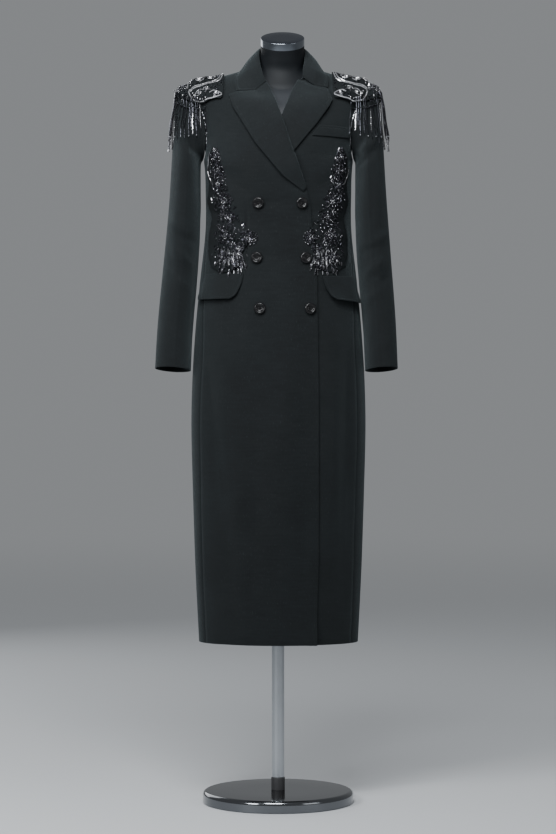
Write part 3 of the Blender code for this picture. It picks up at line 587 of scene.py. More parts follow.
# lapels roll out of the fronts' edges; x and height from the top down
lapels = {
    -1: {
        "roll": mm((-27.6, 1617), (-17.8, 1598), (7.9, 1527), (35, 1450), (60, 1378)),
        "outer": mm((-108.5, 1584.5), (-98.5, 1556), (-47, 1474), (11.2, 1404.5), (54.5, 1371)),
        "top": mm((-48.5, 1594), (-90, 1591.2)),
    },
    1: {
        "roll": mm((47.6, 1617), (37, 1598), (8.5, 1527), (-8, 1480), (-17.5, 1452)),
        "outer": mm((119, 1572), (110, 1556), (84, 1519), (31.4, 1455), (12, 1435)),
        "top": mm((79.5, 1603.5), (109, 1597.8)),
    },
    "lay": 0.0012, "swell": 0.0035, "standOff": 0.0042, "pressed": (1.5, 1.56), "thickness": 0.0022,
    "rows": 46, "columns": 24, "rollColumns": 6, "rollRadius": 0.0026,
}


def lapelPiece(side, hand):
    lapel = lapels[side]
    tree = clothTree("front" + hand)
    # the top edge goes up to the collar's end and then down to the peak
    top = np.array((lapel["roll"][0], *lapel["top"], lapel["outer"][0]))
    topShares = (top[:, 0] - top[0, 0]) / (top[-1, 0] - top[0, 0])
    topRise = top[:, 1] - between((top[0, 1], top[-1, 1]), topShares)
    points = []
    for down in np.linspace(0, 1, lapels["rows"]):
        roll, edge = along(lapel["roll"], down), along(lapel["outer"], down)
        row = []
        for share in np.linspace(0, 1, lapels["columns"]):
            x, z = between((roll, edge), share)
            z += np.interp(share, topShares, topRise) * (1 - down) ** 6
            swell = lapels["swell"] * math.sin(math.pi * min(share + 0.12, 1.0))
            swell += lapels["standOff"] * ease(share, 0.5, 1.0)
            swell *= ease(1 - down, 0.0, 0.25) * (0.2 + 0.8 * ease(down, 0.0, 0.16))
            if side > 0:
                swell *= ease(z, *lapels["pressed"])
            swell += 0.0004 * noise.noise(Vector((x * 30, z * 22, 8)))
            base = overlapLift(x, z) if side < 0 else 0.0
            row.append(laidOnFront(tree, x, z, lapels["lay"] + swell + wall, base))
        # the cloth turns under at the roll line, back towards the front's own edge
        outward = (row[0] - row[1]) / np.linalg.norm(row[0] - row[1])
        normal = onFront(*roll)[1]
        turnUnder = []
        for a in np.linspace(0.5 * math.pi, 0, lapels["rollColumns"], endpoint=False):
            turnUnder.append(row[0] + lapels["rollRadius"] * (math.sin(a) * outward - (1 - math.cos(a)) * normal))
        points.append(turnUnder + row)
    piece = clothShell("lapel" + hand, points, edges=("right", "low"), thickness=lapels["thickness"])
    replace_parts(piece, "lapel_" + hand.lower())


for side, hand in hands:
    lapelPiece(side, hand)
print("lapels ready")

# half the collar, from the centre back round to its front end
collar = {
    # the seam's angle, the fold's x, y and z, the fall's middle, the angle and level of the outer edge
    "rows": (
        (180.0, 0.0, 0.052, 1.702, 0.0, 0.078, 1.683, 180.0, 12.25),
        (140.0, 0.035, 0.035, 1.701, 0.054, 0.06, 1.681, 138.0, 12.35),
        (95.0, 0.05, -0.008, 1.691, 0.075, -0.004, 1.671, 92.0, 12.62),
        (60.0, 0.0485, -0.045, 1.655, 0.078, -0.05, 1.641, 63.0, 12.32),
        (38.0, 0.04, -0.066, 1.628, 0.062, -0.0715, 1.6075, 47.0, 11.92),
    ),
    # the front ends: where the roll stops, the notch's corner and the outer corner, each with its lift
    "ends": {
        -1: mm((-26.9, 1617, 7), (-50, 1596.8, 7.6), (-91.5, 1595.8, 7)),
        1: mm((57.5, 1624.5, 7), (81.8, 1607, 7.6), (111, 1603.6, 7)),
    },
    "centre": 0.009, "fall": {-1: 0.0, 1: 0.007}, "places": 96, "profile": 31,
}


def collarPiece():
    rings = []
    for place in np.linspace(-4, 4, collar["places"] + 1):
        side = -1 if place < 0 else 1
        row = throughRows(collar["rows"], abs(place))
        (foldX, foldY, foldZ), (midX, midY, midZ) = row[1:4], row[4:7]
        high = np.array((0.0, 0.0, collar["fall"][side] * ease(abs(place), 2.6, 4.0)))
        rails = np.array((
            coatPoint(side * row[0], coat["neckline"]) + np.array((0.0, 0.0, 2 * gap)),
            (collar["centre"] + side * foldX, foldY, foldZ),
            (collar["centre"] + side * midX, midY, midZ) + high,
            coatPoint(side * row[7], row[8], lay + wall) + high))
        sharp = ease(abs(place), 3.0, 4.0)
        for k, (x, z, out) in enumerate(collar["ends"][side], 1):
            front, away = onFront(x, z)
            rails[k] += sharp * (np.array((x, (front + out * away)[1], z)) - rails[k])
        ring = []
        for share in np.linspace(0, 3, collar["profile"]):
            straight = np.array([np.interp(share, range(4), rail) for rail in rails.T])
            ring.append((1 - sharp) * throughRows(rails, share) + sharp * straight)
        rings.append(ring)
    points = np.array(rings).swapaxes(0, 1)
    piece = clothShell("coatCollar", points, axis=(collar["centre"], 0.0), edges=("high", "left", "right"))
    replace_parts(piece, "collar")


collarPiece()
print("collar ready")

# pocket flaps: the front and rear ends' angles, and the heights, at the top and the bottom
flaps = {
    -1: {"front": (26.2, 33.0), "rear": (68.0, 75.0), "heights": (1.189, 1.134), "slope": 0.002},
    1: {"front": (34.0, 41.0), "rear": (69.0, 76.0), "heights": (1.183, 1.132), "slope": 0.009},
    "lift": 0.0062, "corner": 2.6, "wave": 0.0008, "thickness": 0.0026, "rows": 22, "columns": 46,
}
welt = {
    "inner": (0.0745, 0.0905), "outer": (0.159, 0.16), "heights": (1.4925, 1.516), "fall": 0.0025,
    "lift": 0.0006, "rows": 12, "columns": 44,
}


def flapPiece(side, hand):
    flap = flaps[side]
    tree = clothTree("front" + hand, "coatBack")
    heights = coat["rings"][:10, 0]

    def spot(down, share):
        front, rear = between(flap["front"], down**2), between(flap["rear"], down)
        # round lower corners
        inset = flaps["corner"] * ease(down, 0.8, 1.0) ** 2
        angle = between((front + inset, rear - inset), share)
        outward = (angle - front) / (rear - front)
        level = np.interp(between(flap["heights"], down) - flap["slope"] * outward * down, heights, range(10))
        wave = flaps["wave"] * math.sin(3.1 * math.pi * outward + side) * down
        out = lay + flaps["lift"] * down**1.5 + wave + wall
        return laidOn(tree, coatPoint(side * angle, level), coatNormal(side * angle, level), out)

    points = gridOf(flaps["rows"], flaps["columns"], spot)
    piece = clothShell("flap" + hand, points, edges=("left", "right", "high"), thickness=flaps["thickness"])
    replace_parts(piece, "flap_" + hand.lower())


def weltPiece():
    tree = clothTree("frontLeft")

    def spot(up, share):
        x = between((between(welt["inner"], up), between(welt["outer"], up)), share)
        z = between(welt["heights"], up) - welt["fall"] * share
        return laidOnFront(tree, x, z, lay + wall + welt["lift"] * up)

    points = gridOf(welt["rows"], welt["columns"], spot)
    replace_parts(clothShell("breastWelt", points, edges=("left", "right", "high")), "breast_welt")


for side, hand in hands:
    flapPiece(side, hand)
weltPiece()
print("flaps and welt ready")


def turnedPiece(name, profile, material, steps, place=(0.0, 0.0, 0.0), axis=(0.0, 0.0, 1.0), shape=None):
    # a solid of revolution, from a profile of radius and height
    lean = Vector(axis).to_track_quat("Z", "Y")
    points = []
    for radius, height in profile:
        row = []
        for k in range(steps + 1):
            spot = Vector((*polar(0.0, 0.0, radius, 2 * math.pi * (k % steps) / steps), height))
            if shape:
                spot.z += shape(spot)
            row.append(Vector(place) + lean @ spot)
        points.append(row)
    return solidPiece(name, points, material)


# buttons: a deep dish with a rounded rim, four holes and black thread
buttons = {
    "places": (
        (-0.0427, 1.345), (0.052, 1.345), (-0.0461, 1.224), (0.0609, 1.224), (-0.0395, 1.112), (0.0704, 1.112),
    ),
    "radius": 0.0125, "height": 0.0055, "dish": 0.55, "steps": 48,
    "profile": ((0.0, 0.55), (0.42, 0.55), (0.68, 0.95), (0.84, 1.0), (1.0, 0.62), (0.86, 0.0)),
    "hole": 0.001, "holeDepth": 0.0011, "holeFrom": 0.0022 / 1.3, "threadRadius": 0.00045,
}


def buttonDip(spot):
    if spot.z < 0.3 * buttons["height"]:
        return 0.0
    near = math.hypot(abs(spot.x) - buttons["holeFrom"], abs(spot.y) - buttons["holeFrom"])
    return -buttons["holeDepth"] * (1 - ease(near, 0.6 * buttons["hole"], 1.25 * buttons["hole"]))


def buttonThread(name, place, lean):
    # two bars that cross between the holes
    made = bmesh.new()
    radius, length = buttons["threadRadius"], 3.2 * buttons["holeFrom"]
    for crosswise in (False, True):
        verts = bmesh.ops.create_cone(
            made, cap_ends=True, segments=8, radius1=radius, radius2=radius, depth=length)["verts"]
        for vert in verts:
            x, y, run = vert.co
            rise = 0.58 * buttons["height"] - 0.6 * run * run / (1.3 * buttons["holeFrom"])
            spot = Vector((x, run, y + rise)) if crosswise else Vector((run, x, y + rise))
            vert.co = Vector(place) + lean @ spot
    bmesh.ops.recalc_face_normals(made, faces=made.faces)
    pieceFrom(name, made, gloss["blackThread"], sharp=35)


def buttonPieces():
    tree = clothTree("frontRight")
    radius, height = buttons["radius"], buttons["height"]
    profile = [(radius * k / 44, buttons["dish"] * height) for k in range(15)]
    for at in np.linspace(1.1, 5, 26):
        across, up = throughRows(buttons["profile"], at)
        if radius * across > profile[-1][0] or at > 3.5:
            profile.append((radius * across, height * max(up, 0.0)))
    profile.append((0.0, 0.0))
    for number, (x, z) in enumerate(buttons["places"], 1):
        # each one hangs a little differently
        axis = Vector(onFront(x, z)[1]) + Vector((0.04 * math.sin(3 * number), 0, 0.05))
        place = laidOnFront(tree, x, z, 2 * gap)
        button = turnedPiece(
            f"button{number}", profile, gloss["blackHorn"], buttons["steps"], place, axis, buttonDip)
        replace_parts(button, f"button_{number}")
        buttonThread(f"buttonThread{number}", place, axis.to_track_quat("Z", "Y"))


buttonPieces()
print("buttons ready")

# beads: one small template of each kind, set on points by geometry nodes
beadWork = {
    "kinds": ("round", "bugle", "stone", "leaf"), "roughness": 0.22, "metallic": 0.92,
    "darkest": (0.01, 0.011, 0.013), "middle": (0.04, 0.04, 0.048), "brightest": (0.8, 0.8, 0.82),
}
# the template of each bead, with its length, width and height in millimetres
beads = {
    "seed": ("round", 2.2, 2.2, 2), "crystal": ("round", 3.4, 3.4, 3),
    "bugle": ("bugle", 5.6, 1.6, 1.6), "longBugle": ("bugle", 7.8, 1.9, 1.9),
    "edgeBugle": ("bugle", 5.6, 2, 2), "flowerStone": ("stone", 5.6, 5.6, 4.6),
    "petal": ("leaf", 9, 7, 4), "sprayLeaf": ("leaf", 10, 6, 5),
    "smallSeed": ("round", 2.1, 2.1, 1.9), "netBugle": ("bugle", 5.6, 2.1, 2.1),
    "thickBugle": ("bugle", 5.6, 3, 2.8), "thinBugle": ("bugle", 5, 1.6, 1.6),
    "scrollStone": ("stone", 5.8, 5.8, 4.4), "scrollLeaf": ("leaf", 8.5, 5, 4.2),
    "braidBead": ("round", 2.4, 2.4, 2.2), "seamBugle": ("bugle", 4.6, 1.8, 1.8),
    "spacer": ("round", 2.3, 2.3, 2.3), "endStone": ("stone", 3.4, 3.4, 4.4),
    "drop": ("bugle", 5.076, 1.9, 1.9), "fineDrop": ("bugle", 5.828, 1.3, 1.3),
}


def beadMaterial():
    finish = Finish("silverBeads", Base_Color=beadWork["darkest"], Metallic=beadWork["metallic"])
    tone = finish.add("Attribute", attribute_name="tone").outputs["Fac"]
    flecks = finish.cloud(finish.place, 260.0, 1.0)
    shade = finish.calc("MULTIPLY_ADD", flecks, 0.12, finish.calc("SUBTRACT", tone, 0.06))
    finish.feed(
        finish.shader,
        Base_Color=finish.ramp(
            shade, (0.0, beadWork["darkest"]), (1.0, beadWork["brightest"]), (0.45, beadWork["middle"])),
        Roughness=finish.calc("MULTIPLY_ADD", flecks, 0.16, beadWork["roughness"] - 0.08))
    return finish.made


def beadTemplates(material):
    kept = bpy.data.collections.new("beadTemplates")
    for number, kind in enumerate(beadWork["kinds"]):
        made = bmesh.new()
        if kind == "round":
            bmesh.ops.create_icosphere(made, subdivisions=2, radius=0.5)
        elif kind == "bugle":
            verts = bmesh.ops.create_cone(
                made, cap_ends=True, segments=6, radius1=0.5, radius2=0.5, depth=1.0)["verts"]
            bmesh.ops.rotate(made, verts=verts, cent=(0, 0, 0), matrix=Matrix.Rotation(math.pi / 2, 3, "Y"))
        elif kind == "stone":
            verts = bmesh.ops.create_cone(
                made, cap_ends=True, segments=8, radius1=0.5, radius2=0.26, depth=0.5)["verts"]
            bmesh.ops.translate(made, verts=verts, vec=(0, 0, 0.1))
        else:
            for vert in bmesh.ops.create_grid(made, x_segments=4, y_segments=2, size=0.5)["verts"]:
                share = vert.co.x + 0.5
                vert.co.y *= 0.9 * math.sin(math.pi * min(share + 0.08, 1.0)) ** 0.8
                vert.co.z = 0.5 * abs(vert.co.y) - 0.35 * (share - 0.5) ** 2
            bmesh.ops.solidify(made, geom=made.faces, thickness=0.06)
        bmesh.ops.recalc_face_normals(made, faces=made.faces)
        mesh = bpy.data.meshes.new(f"bead{number}")
        made.to_mesh(mesh)
        made.free()
        if kind == "round":
            mesh.shade_smooth()
        mesh.materials.append(material)
        kept.objects.link(bpy.data.objects.new(f"bead{number}", mesh))
    return kept


def beadGroup(templates):
    group = bpy.data.node_groups.new("beadsOnPoints", "GeometryNodeTree")
    for way in ("INPUT", "OUTPUT"):
        group.interface.new_socket("Geometry", in_out=way, socket_type="NodeSocketGeometry")
    start, end, picked, asPoints, setOut, real = (group.nodes.new(kind) for kind in (
        "NodeGroupInput", "NodeGroupOutput", "GeometryNodeCollectionInfo", "GeometryNodeMeshToPoints",
        "GeometryNodeInstanceOnPoints", "GeometryNodeRealizeInstances"))
    picked.inputs["Collection"].default_value = templates
    for node, switch in ((picked, "Separate Children"), (picked, "Reset Children"), (setOut, "Pick Instance")):
        node.inputs[switch].default_value = True
    link = group.links.new
    link(start.outputs[0], asPoints.inputs["Mesh"])
    link(asPoints.outputs[0], setOut.inputs["Points"])
    link(picked.outputs[0], setOut.inputs["Instance"])
    for label, kind, socket in (
            ("kind", "INT", "Instance Index"), ("turn", "FLOAT_VECTOR", "Rotation"),
            ("size", "FLOAT_VECTOR", "Scale")):
        named = group.nodes.new("GeometryNodeInputNamedAttribute")
        named.data_type = kind
        named.inputs["Name"].default_value = label
        value = named.outputs["Attribute"]
        if socket == "Rotation":
            turner = group.nodes.new("FunctionNodeEulerToRotation")
            link(value, turner.inputs[0])
            value = turner.outputs[0]
        link(value, setOut.inputs[socket])
    link(setOut.outputs[0], real.inputs[0])
    link(real.outputs[0], end.inputs[0])
    return group


beadKept = beadTemplates(beadMaterial())
beadNodes = beadGroup(beadKept)


class BeadPlan:
    # beads gathered for one piece; its seat gives the place and normal on the cloth
    def __init__(self, seat=None):
        self.seat = seat
        self.rows = []

    def put(self, bead, place, forward, normal, tone, rise=0.0):
        kind, *size = beads[bead]
        size = mm(*size).tolist()
        sideways = normal.cross(forward).normalized()
        turn = Matrix((forward, sideways, forward.cross(sideways))).transposed().to_euler()
        place = place + rise * size[2] * normal
        self.rows.append((beadWork["kinds"].index(kind), tuple(place), tuple(turn), size, tone))

    def add(self, bead, u, v, heading, tone, lean=0.0):
        place, normal = self.seat(u, v)
        forward = self.seat(*polar(u, v, 0.0015, heading))[0] - place
        forward = (forward - forward.dot(normal) * normal).normalized() + lean * normal
        self.put(bead, place, forward.normalized(), normal, tone, 0.5)

    def around(self, bead, u, v, reach, a, tone, lean=0.0):
        self.add(bead, *polar(u, v, reach, a), a, tone, lean)

    def string(self, path, pitch, *pattern, jitter=0.0):
        # beads strung along a smooth path; the pattern gives bead and tone in turn
        path = np.asarray(path, dtype=float)
        last = len(path) - 1
        spots = [self.seat(*throughRows(path, at)) for at in np.linspace(0, last, 24 * last + 1)]
        reached = runs([(b[0] - a[0]).length for a, b in zip(spots, spots[1:])])
        at, number = 0.5 * pitch, 0
        while at < reached[-1]:
            bead, tone = pattern[number % len(pattern)]
            k = int(np.clip(np.searchsorted(reached, at) - 1, 0, len(spots) - 2))
            (start, normal), (end, _) = spots[k:k + 2]
            share = (at - reached[k]) / max(reached[k + 1] - reached[k], 1e-9)
            forward = (end - start).normalized()
            drift = jitter * (random.random() - 0.5) * normal.cross(forward)
            shade = min(max(tone + 0.25 * (random.random() - 0.5), 0.0), 1.0)
            self.put(bead, start.lerp(end, share) + drift, forward, normal, shade, 0.5)
            at += pitch
            number += 1

    def make(self, name):
        kinds, places, turns, sizes, tones = zip(*self.rows)
        points = bpy.data.meshes.new(name + "Points")
        points.from_pydata(places, [], [])
        for label, kind, values in (
                ("kind", "INT", kinds), ("tone", "FLOAT", tones),
                ("turn", "FLOAT_VECTOR", turns), ("size", "FLOAT_VECTOR", sizes)):
            layer = points.attributes.new(label, kind, "POINT")
            layer.data.foreach_set("vector" if kind == "FLOAT_VECTOR" else "value", np.array(values).ravel())
        holder = inScene(name + "Points", points)
        modify(holder, "Beads", "NODES", node_group=beadNodes)
        graph = bpy.context.evaluated_depsgraph_get()
        mesh = bpy.data.meshes.new_from_object(holder.evaluated_get(graph))
        mesh.name = name
        for label in ("kind", "turn", "size"):
            if label in mesh.attributes:
                mesh.attributes.remove(mesh.attributes[label])
        bpy.data.objects.remove(holder)
        piece = inScene(name, mesh)
        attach(piece, "root")
        print(name, len(self.rows), "beads")
        return piece


# the vines: height with the inner and outer edge, and flowers as x, height and radius
vines = {
    "widths": mm(
        (1470, 138, 144), (1452, 131, 152), (1420, 122, 156), (1385, 124, 152), (1350, 108, 157),
        (1312, 104, 146), (1280, 66, 152), (1262, 60, 154), (1232, 78, 154), (1205, 85, 148), (1193, 103, 128)),
    "lay": 0.0025, "raise": 0.00182, "nibble": 0.0016, "round": 0.168, "fromEdge": 0.004, "thickness": 0.001,
    "flowers": mm(
        (141, 1447, 12), (138, 1417, 18), (140, 1385, 13), (132, 1350, 23), (124, 1315, 15), (131, 1272, 23),
        (85, 1269, 19), (104, 1244, 16), (134, 1226, 18), (105, 1212, 14)),
    "stem": mm(
        (142, 1468), (136, 1440), (146, 1418), (134, 1398), (142, 1372), (128, 1350), (137, 1325), (122, 1305),
        (130, 1280), (117, 1262), (124, 1238), (114, 1212)),
    "outerLine": mm((150, 1462), (155.5, 1440), (157.5, 1418), (153.5, 1396), (147, 1384)),
    # a round cluster by the buttons: its middle, and the rings' radius and count
    "cluster": {-1: 0.072, 1: 0.086}, "clusterZ": 1.268, "clusterRings": ((0.0045, 6), (0.0092, 10), (0.0138, 12)),
    "rows": 90, "columns": 26, "streaks": 17, "fill": 960,
}


def vineSpan(side, z):
    heights, inners, outers = zip(*reversed(vines["widths"]))
    start, end = np.interp(z, heights, inners), np.interp(z, heights, outers)
    if side > 0:
        start = max(start, np.interp(z, *zip(*coat["rightEdge"])) + vines["fromEdge"])
    return start, end


def vineBase(side, hand, tree):
    low, high = vines["widths"][-1][0], vines["widths"][0][0]

    def spot(up, share):
        z = between((low, high), up)
        start, end = vineSpan(side, z)
        nibble = vines["nibble"] * (1 + noise.noise(Vector((z * 160, side, 0.0))))
        turns = [math.asin(x / vines["round"]) for x in (start + nibble, end - nibble)]
        x = vines["round"] * math.sin(between(turns, share))
        raised = max(1 - (math.hypot(x - u, z - v) / radius) ** 2 for u, v, radius in vines["flowers"])
        return laidOnFront(tree, side * x, z, vines["lay"] + vines["raise"] * max(raised, 0.0))

    points = gridOf(vines["rows"], vines["columns"], spot)
    base = clothShell("vineNet" + hand, points, gloss["blackNet"], thickness=vines["thickness"])
    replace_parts(base, "beading_" + hand.lower())


def facingOut(normal, away):
    return -normal if normal.dot(away) < 0 else normal


def vineSeat(side, tree):
    # u is how far round the waist from the front's middle, v the height
    def seat(u, v):
        a = u / vines["round"]
        away = Vector((side * math.sin(a), -math.cos(a), 0.0))
        hit, normal, _, _ = tree.ray_cast(0.3 * away + Vector((0, 0, v)), -away, 0.3)
        return hit, facingOut(normal, away)
    return seat


def roundOf(x):
    return vines["round"] * math.asin(min(x / vines["round"], 0.999))


def flowerBeads(plan, number, u, v, radius):
    plan.add("flowerStone", u, v, 0.3 * number, 0.55)
    for k in range(9):
        a = 2 * math.pi * (k + 0.3 * number) / 9
        plan.around("crystal", u, v, 0.0052, a, 0.25 + 0.4 * random.random())
    petals = 5 + number % 3
    for k in range(petals):
        a = 2 * math.pi * (k + 0.4 * number) / petals
        reach = radius * (0.92 + 0.12 * math.sin(5 * k + number))
        loop = []
        for t in np.linspace(0, 1, 9):
            out = 0.3 * reach + 0.7 * reach * math.sin(math.pi * min(t, 1 - t) / 2) ** 0.6
            across = 0.36 * reach * math.cos(math.pi * t)
            loop.append(polar(*polar(u, v, out, a), across, a + math.pi / 2))
        plan.string(loop, 0.0024, ("seed", 0.42), ("seed", 0.22))
        plan.around("bugle", u, v, 0.62 * reach, a, 0.25 + 0.4 * random.random())
        plan.around("petal", u, v, 0.62 * reach, a + 0.4, 0.3)


def sprayBeads(plan):
    # bugles and leaves fan out over the flap's top edge
    for k in range(vines["streaks"]):
        rootU, rootV = roundOf(0.101 + 0.0021 * k), 1.24 + 0.004 * math.sin(1.9 * k)
        reach = 0.046 + 0.012 * math.sin(2.6 * k + 0.5) - 0.0007 * abs(k - 8)
        tipU, tipV = rootU + 0.0021 * (k - 8) + 0.003 * math.sin(3.7 * k), max(rootV - reach, 1.176)
        middle = ((rootU + tipU) / 2 + 0.002 * math.sin(2.3 * k), (rootV + tipV) / 2)
        path = [(rootU, rootV), middle, (tipU, tipV)]
        bright = 0.95 if k % 4 == 2 else 0.6
        plan.string(path, 0.0082, ("longBugle", bright), ("longBugle", 0.45), ("longBugle", 0.55))
        if k % 3 == 0:
            beside = [(u + 0.0022, v + 0.001) for u, v in path]
            plan.string(beside, 0.004, ("seed", 0.3), ("crystal", 0.45))
        if k % 3 == 1:
            plan.add("sprayLeaf", tipU, tipV + 0.003, -1.5, 0.5, lean=0.12)


def vineBeads(side, hand, tree):
    plan = BeadPlan(vineSeat(side, tree))
    stem = [(roundOf(x), z) for x, z in vines["stem"]]
    plan.string(stem, 0.0037, ("crystal", 0.5), ("seed", 0.3))
    for shift in (-0.0034, 0.0034):
        plan.string([(u + shift, v) for u, v in stem], 0.006, ("bugle", 0.5), ("bugle", 0.25), jitter=0.001)
    for number, (x, z, radius) in enumerate(vines["flowers"]):
        if side > 0:
            x = max(x, vineSpan(side, z)[0] + 0.6 * radius)
        flowerBeads(plan, number, roundOf(x), z, radius)
    for ring, count in vines["clusterRings"]:
        for k in range(count):
            a = 2 * math.pi * (k + 333 * ring) / count
            plan.around("crystal", roundOf(vines["cluster"][side]), vines["clusterZ"], ring, a,
                        0.15 + 0.45 * random.random())
    sprayBeads(plan)
    plan.string([(roundOf(x), z) for x, z in vines["outerLine"]], 0.0058, ("edgeBugle", 0.62))
    # small dark beads fill what is left
    for _ in range(vines["fill"]):
        z = 1.194 + 0.274 * random.random()
        if z < 1.236 and random.random() < 0.6:
            continue
        start, end = vineSpan(side, z)
        x = start + 0.003 + (end - start - 0.006) * random.random() ** 0.62
        bead = random.choice(("seed", "seed", "bugle", "crystal"))
        tone = 0.1 + 0.62 * random.random() ** 2.6
        plan.add(bead, roundOf(x), z, 6.3 * random.random(), tone)
    plan.make("vineBeads" + hand)


vineTree = clothTree("frontRight", "frontLeft")
for side, hand in hands:
    vineBase(side, hand, vineTree)
    vineBeads(side, hand, clothTree("frontRight", "frontLeft", "vineNet" + hand, "flapRight", "flapLeft"))
print("vines ready")

# the epaulettes, in rows from the neck side to the sleeve head
epaulettes = {
    # the place out along the shoulder, and the turns of the front and rear edge
    "rows": np.array((
        (0.121, 24, -10), (0.1235, 64, -24), (0.138, 67, -32), (0.154, 68, -36), (0.166, 71, -37),
        (0.18, 67, -36), (0.196, 56, -34), (0.208, 42, -28), (0.213, 24, -16),
    )),
    "axisZ": 1.545, "seam": 0.004, "lay": 0.0024, "puff": 0.0012, "down": 64, "across": 44, "thickness": 0.0011,
    # the beaded lines: u out along the shoulder, v the turn in metres of a 90 mm radius
    "radius": 0.09,
    "front": mm(
        (193, 56), (189, 84), (178, 100), (168, 107), (157, 103.5), (143, 103), (125, 98.5), (132, 89), (143, 83),
        (151, 87)),
    "inner": mm((187, 62), (183, 82), (174, 94), (166, 100), (157, 96.5)),
    "arc": mm((128, -20), (124, -2), (124, 20), (128.5, 40), (139, 50), (153, 54), (172, 58), (193, 51)),
    "rear": mm((194, 44), (193, 18), (188, -12), (176, -40), (156, -46), (140, -40), (127, -24), (125, -4)),
    # scrolls: the middle, the start's angle, turns, radius and which way round
    "scrolls": (
        (0.176, 0.077, 200, 1.3, 0.0095, 1), (0.159, 0.072, 20, 1.1, 0.007, -1),
        (0.14, 0.095, 60, 0.9, 0.005, 1), (0.176, 0.026, 90, 1.2, 0.012, 1),
        (0.15, 0.024, 250, 1.1, 0.011, -1), (0.17, -0.018, 160, 1.2, 0.011, 1),
        (0.144, -0.016, 300, 1.1, 0.009, -1)),
    "fill": 300, "loops": 9,
}


def epauletteAway(side, x, turn):
    s, c = sinCos(turn)
    return Vector((side * 0.35 * ease(x, 0.18, 0.215), -s, c)).normalized()


def epauletteBase(side, hand, tree):
    def spot(up, share):
        x, front, rear = throughRows(epaulettes["rows"], 8 * up)
        away = epauletteAway(side, x, between((front, rear), share))
        centre = Vector((side * x, 0.0, epaulettes["axisZ"]))
        out = farthestHit(tree, centre, away, epaulettes["seam"]) + epaulettes["lay"]
        out += epaulettes["puff"] * math.sin(math.pi * share) * math.sin(math.pi * up)
        return np.array(centre + out * away)

    points = gridOf(epaulettes["down"], epaulettes["across"], spot)
    base = clothShell(
        "epauletteNet" + hand, points, gloss["blackNet"], (side * 0.16, 0.0), thickness=epaulettes["thickness"])
    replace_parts(base, "epaulette_" + hand.lower())


def epauletteSeat(side, tree):
    def seat(u, v):
        away = epauletteAway(side, u, math.degrees(v / epaulettes["radius"]))
        centre = Vector((side * u, 0.0, epaulettes["axisZ"]))
        hit, normal, _, _ = tree.ray_cast(centre + 0.25 * away, -away, 0.25)
        if hit is None:
            return centre + 0.06 * away, away
        return hit, facingOut(normal, away)
    return seat


def epauletteEdge(x, edge, inset=0.003):
    full = np.interp(x, epaulettes["rows"][:, 0], epaulettes["rows"][:, edge])
    return math.radians(full - math.copysign(math.degrees(inset / 0.085), full)) * epaulettes["radius"]


def scrollBeads(plan, u, v, start, turns, radius, way):
    spiral = []
    for t in np.linspace(0, 1, 13):
        spiral.append(polar(u, v, radius * (1 - 0.72 * t), math.radians(start + way * 360 * turns * t)))
    plan.string(spiral, 0.0052, ("netBugle", 0.95), ("netBugle", 0.8))
    plan.add("scrollStone", u, v, start, 0.8)
    for k in range(2):
        plan.around("scrollLeaf", u, v, 1.3 * radius, math.radians(start + 120 + 52 * k * way), 0.55, lean=0.08)


def epauletteBeads(side, hand, tree):
    plan = BeadPlan(epauletteSeat(side, tree))
    # bright outlines of thick bugles, with a row of seed beads inside them
    plan.string(epaulettes["front"], 0.0058, ("thickBugle", 1.0))
    plan.string(epaulettes["inner"], 0.0038, ("crystal", 0.85), ("smallSeed", 0.55))
    for inward, bead in ((0.0, "thickBugle"), (0.0052, "netBugle")):
        line = [(u + inward * (u < 0.14), v - inward * (u > 0.128)) for u, v in epaulettes["arc"]]
        plan.string(line, 0.0058, (bead, 1.0))
    plan.string(epaulettes["rear"], 0.0058, ("thickBugle", 0.95))
    inside = [(0.16 + (u - 0.16) * 0.88, v * 0.86) for u, v in epaulettes["rear"]]
    plan.string(inside, 0.0038, ("crystal", 0.75), ("smallSeed", 0.4))
    for row in epaulettes["scrolls"]:
        scrollBeads(plan, *row)
    for _ in range(epaulettes["fill"]):
        x = 0.124 + 0.088 * random.random()
        rear, front = epauletteEdge(x, 2), epauletteEdge(x, 1)
        bead = random.choice(("smallSeed", "smallSeed", "crystal", "thinBugle"))
        plan.add(bead, x, between((rear, front), random.random()), 6.3 * random.random(),
                 0.05 + 0.4 * random.random() ** 2)
    # small loops of seed beads out over the sleeve head
    for k in range(epaulettes["loops"]):
        v = 0.044 - 0.0092 * k
        reach = 0.213 - 0.0011 * abs(k - 4) - 0.002 * (k % 2)
        loop = ((0.195, 0.0032), (reach - 0.004, 0.0046), (reach, 0.0), (reach - 0.004, -0.0046), (0.195, -0.0032))
        plan.string([(u, v + off) for u, off in loop], 0.0024, ("smallSeed", 0.62), ("smallSeed", 0.35))
    plan.make("epauletteBeads" + hand)


for side, hand in hands:
    epauletteBase(side, hand, clothTree("front" + hand, "coatBack", "sleeve" + hand))
    epauletteBeads(side, hand, clothTree("epauletteNet" + hand))
print("epaulettes ready")

# the fringes: strands of bugles and beads from a braid round the sleeve head
fringe = {
    # the turn from the side, the braid's height and the strands' length
    "path": (
        (-112, 1.553, 0.046), (-80, 1.557, 0.062), (-45, 1.57, 0.088), (0, 1.582, 0.1), (40, 1.586, 0.112),
        (70, 1.586, 0.09)),
    # how far above the braid the strands start, over the net
    "above": ((-112, 0.031), (-45, 0.026), (0, 0.016), (70, 0.01)),
    "axisX": 0.19, "strands": 26, "parts": 5, "uneven": 0.17, "seam": 0.001, "sway": 0.0005,
    "stripLay": 0.0007, "stripHigh": 0.005, "stripThick": 0.0016, "thickness": 0.0013,
    "strandLay": 0.0026, "netLay": 0.0016, "bugle": (0.0054, 0.0062), "spacer": 0.0022, "slack": 0.0002,
}


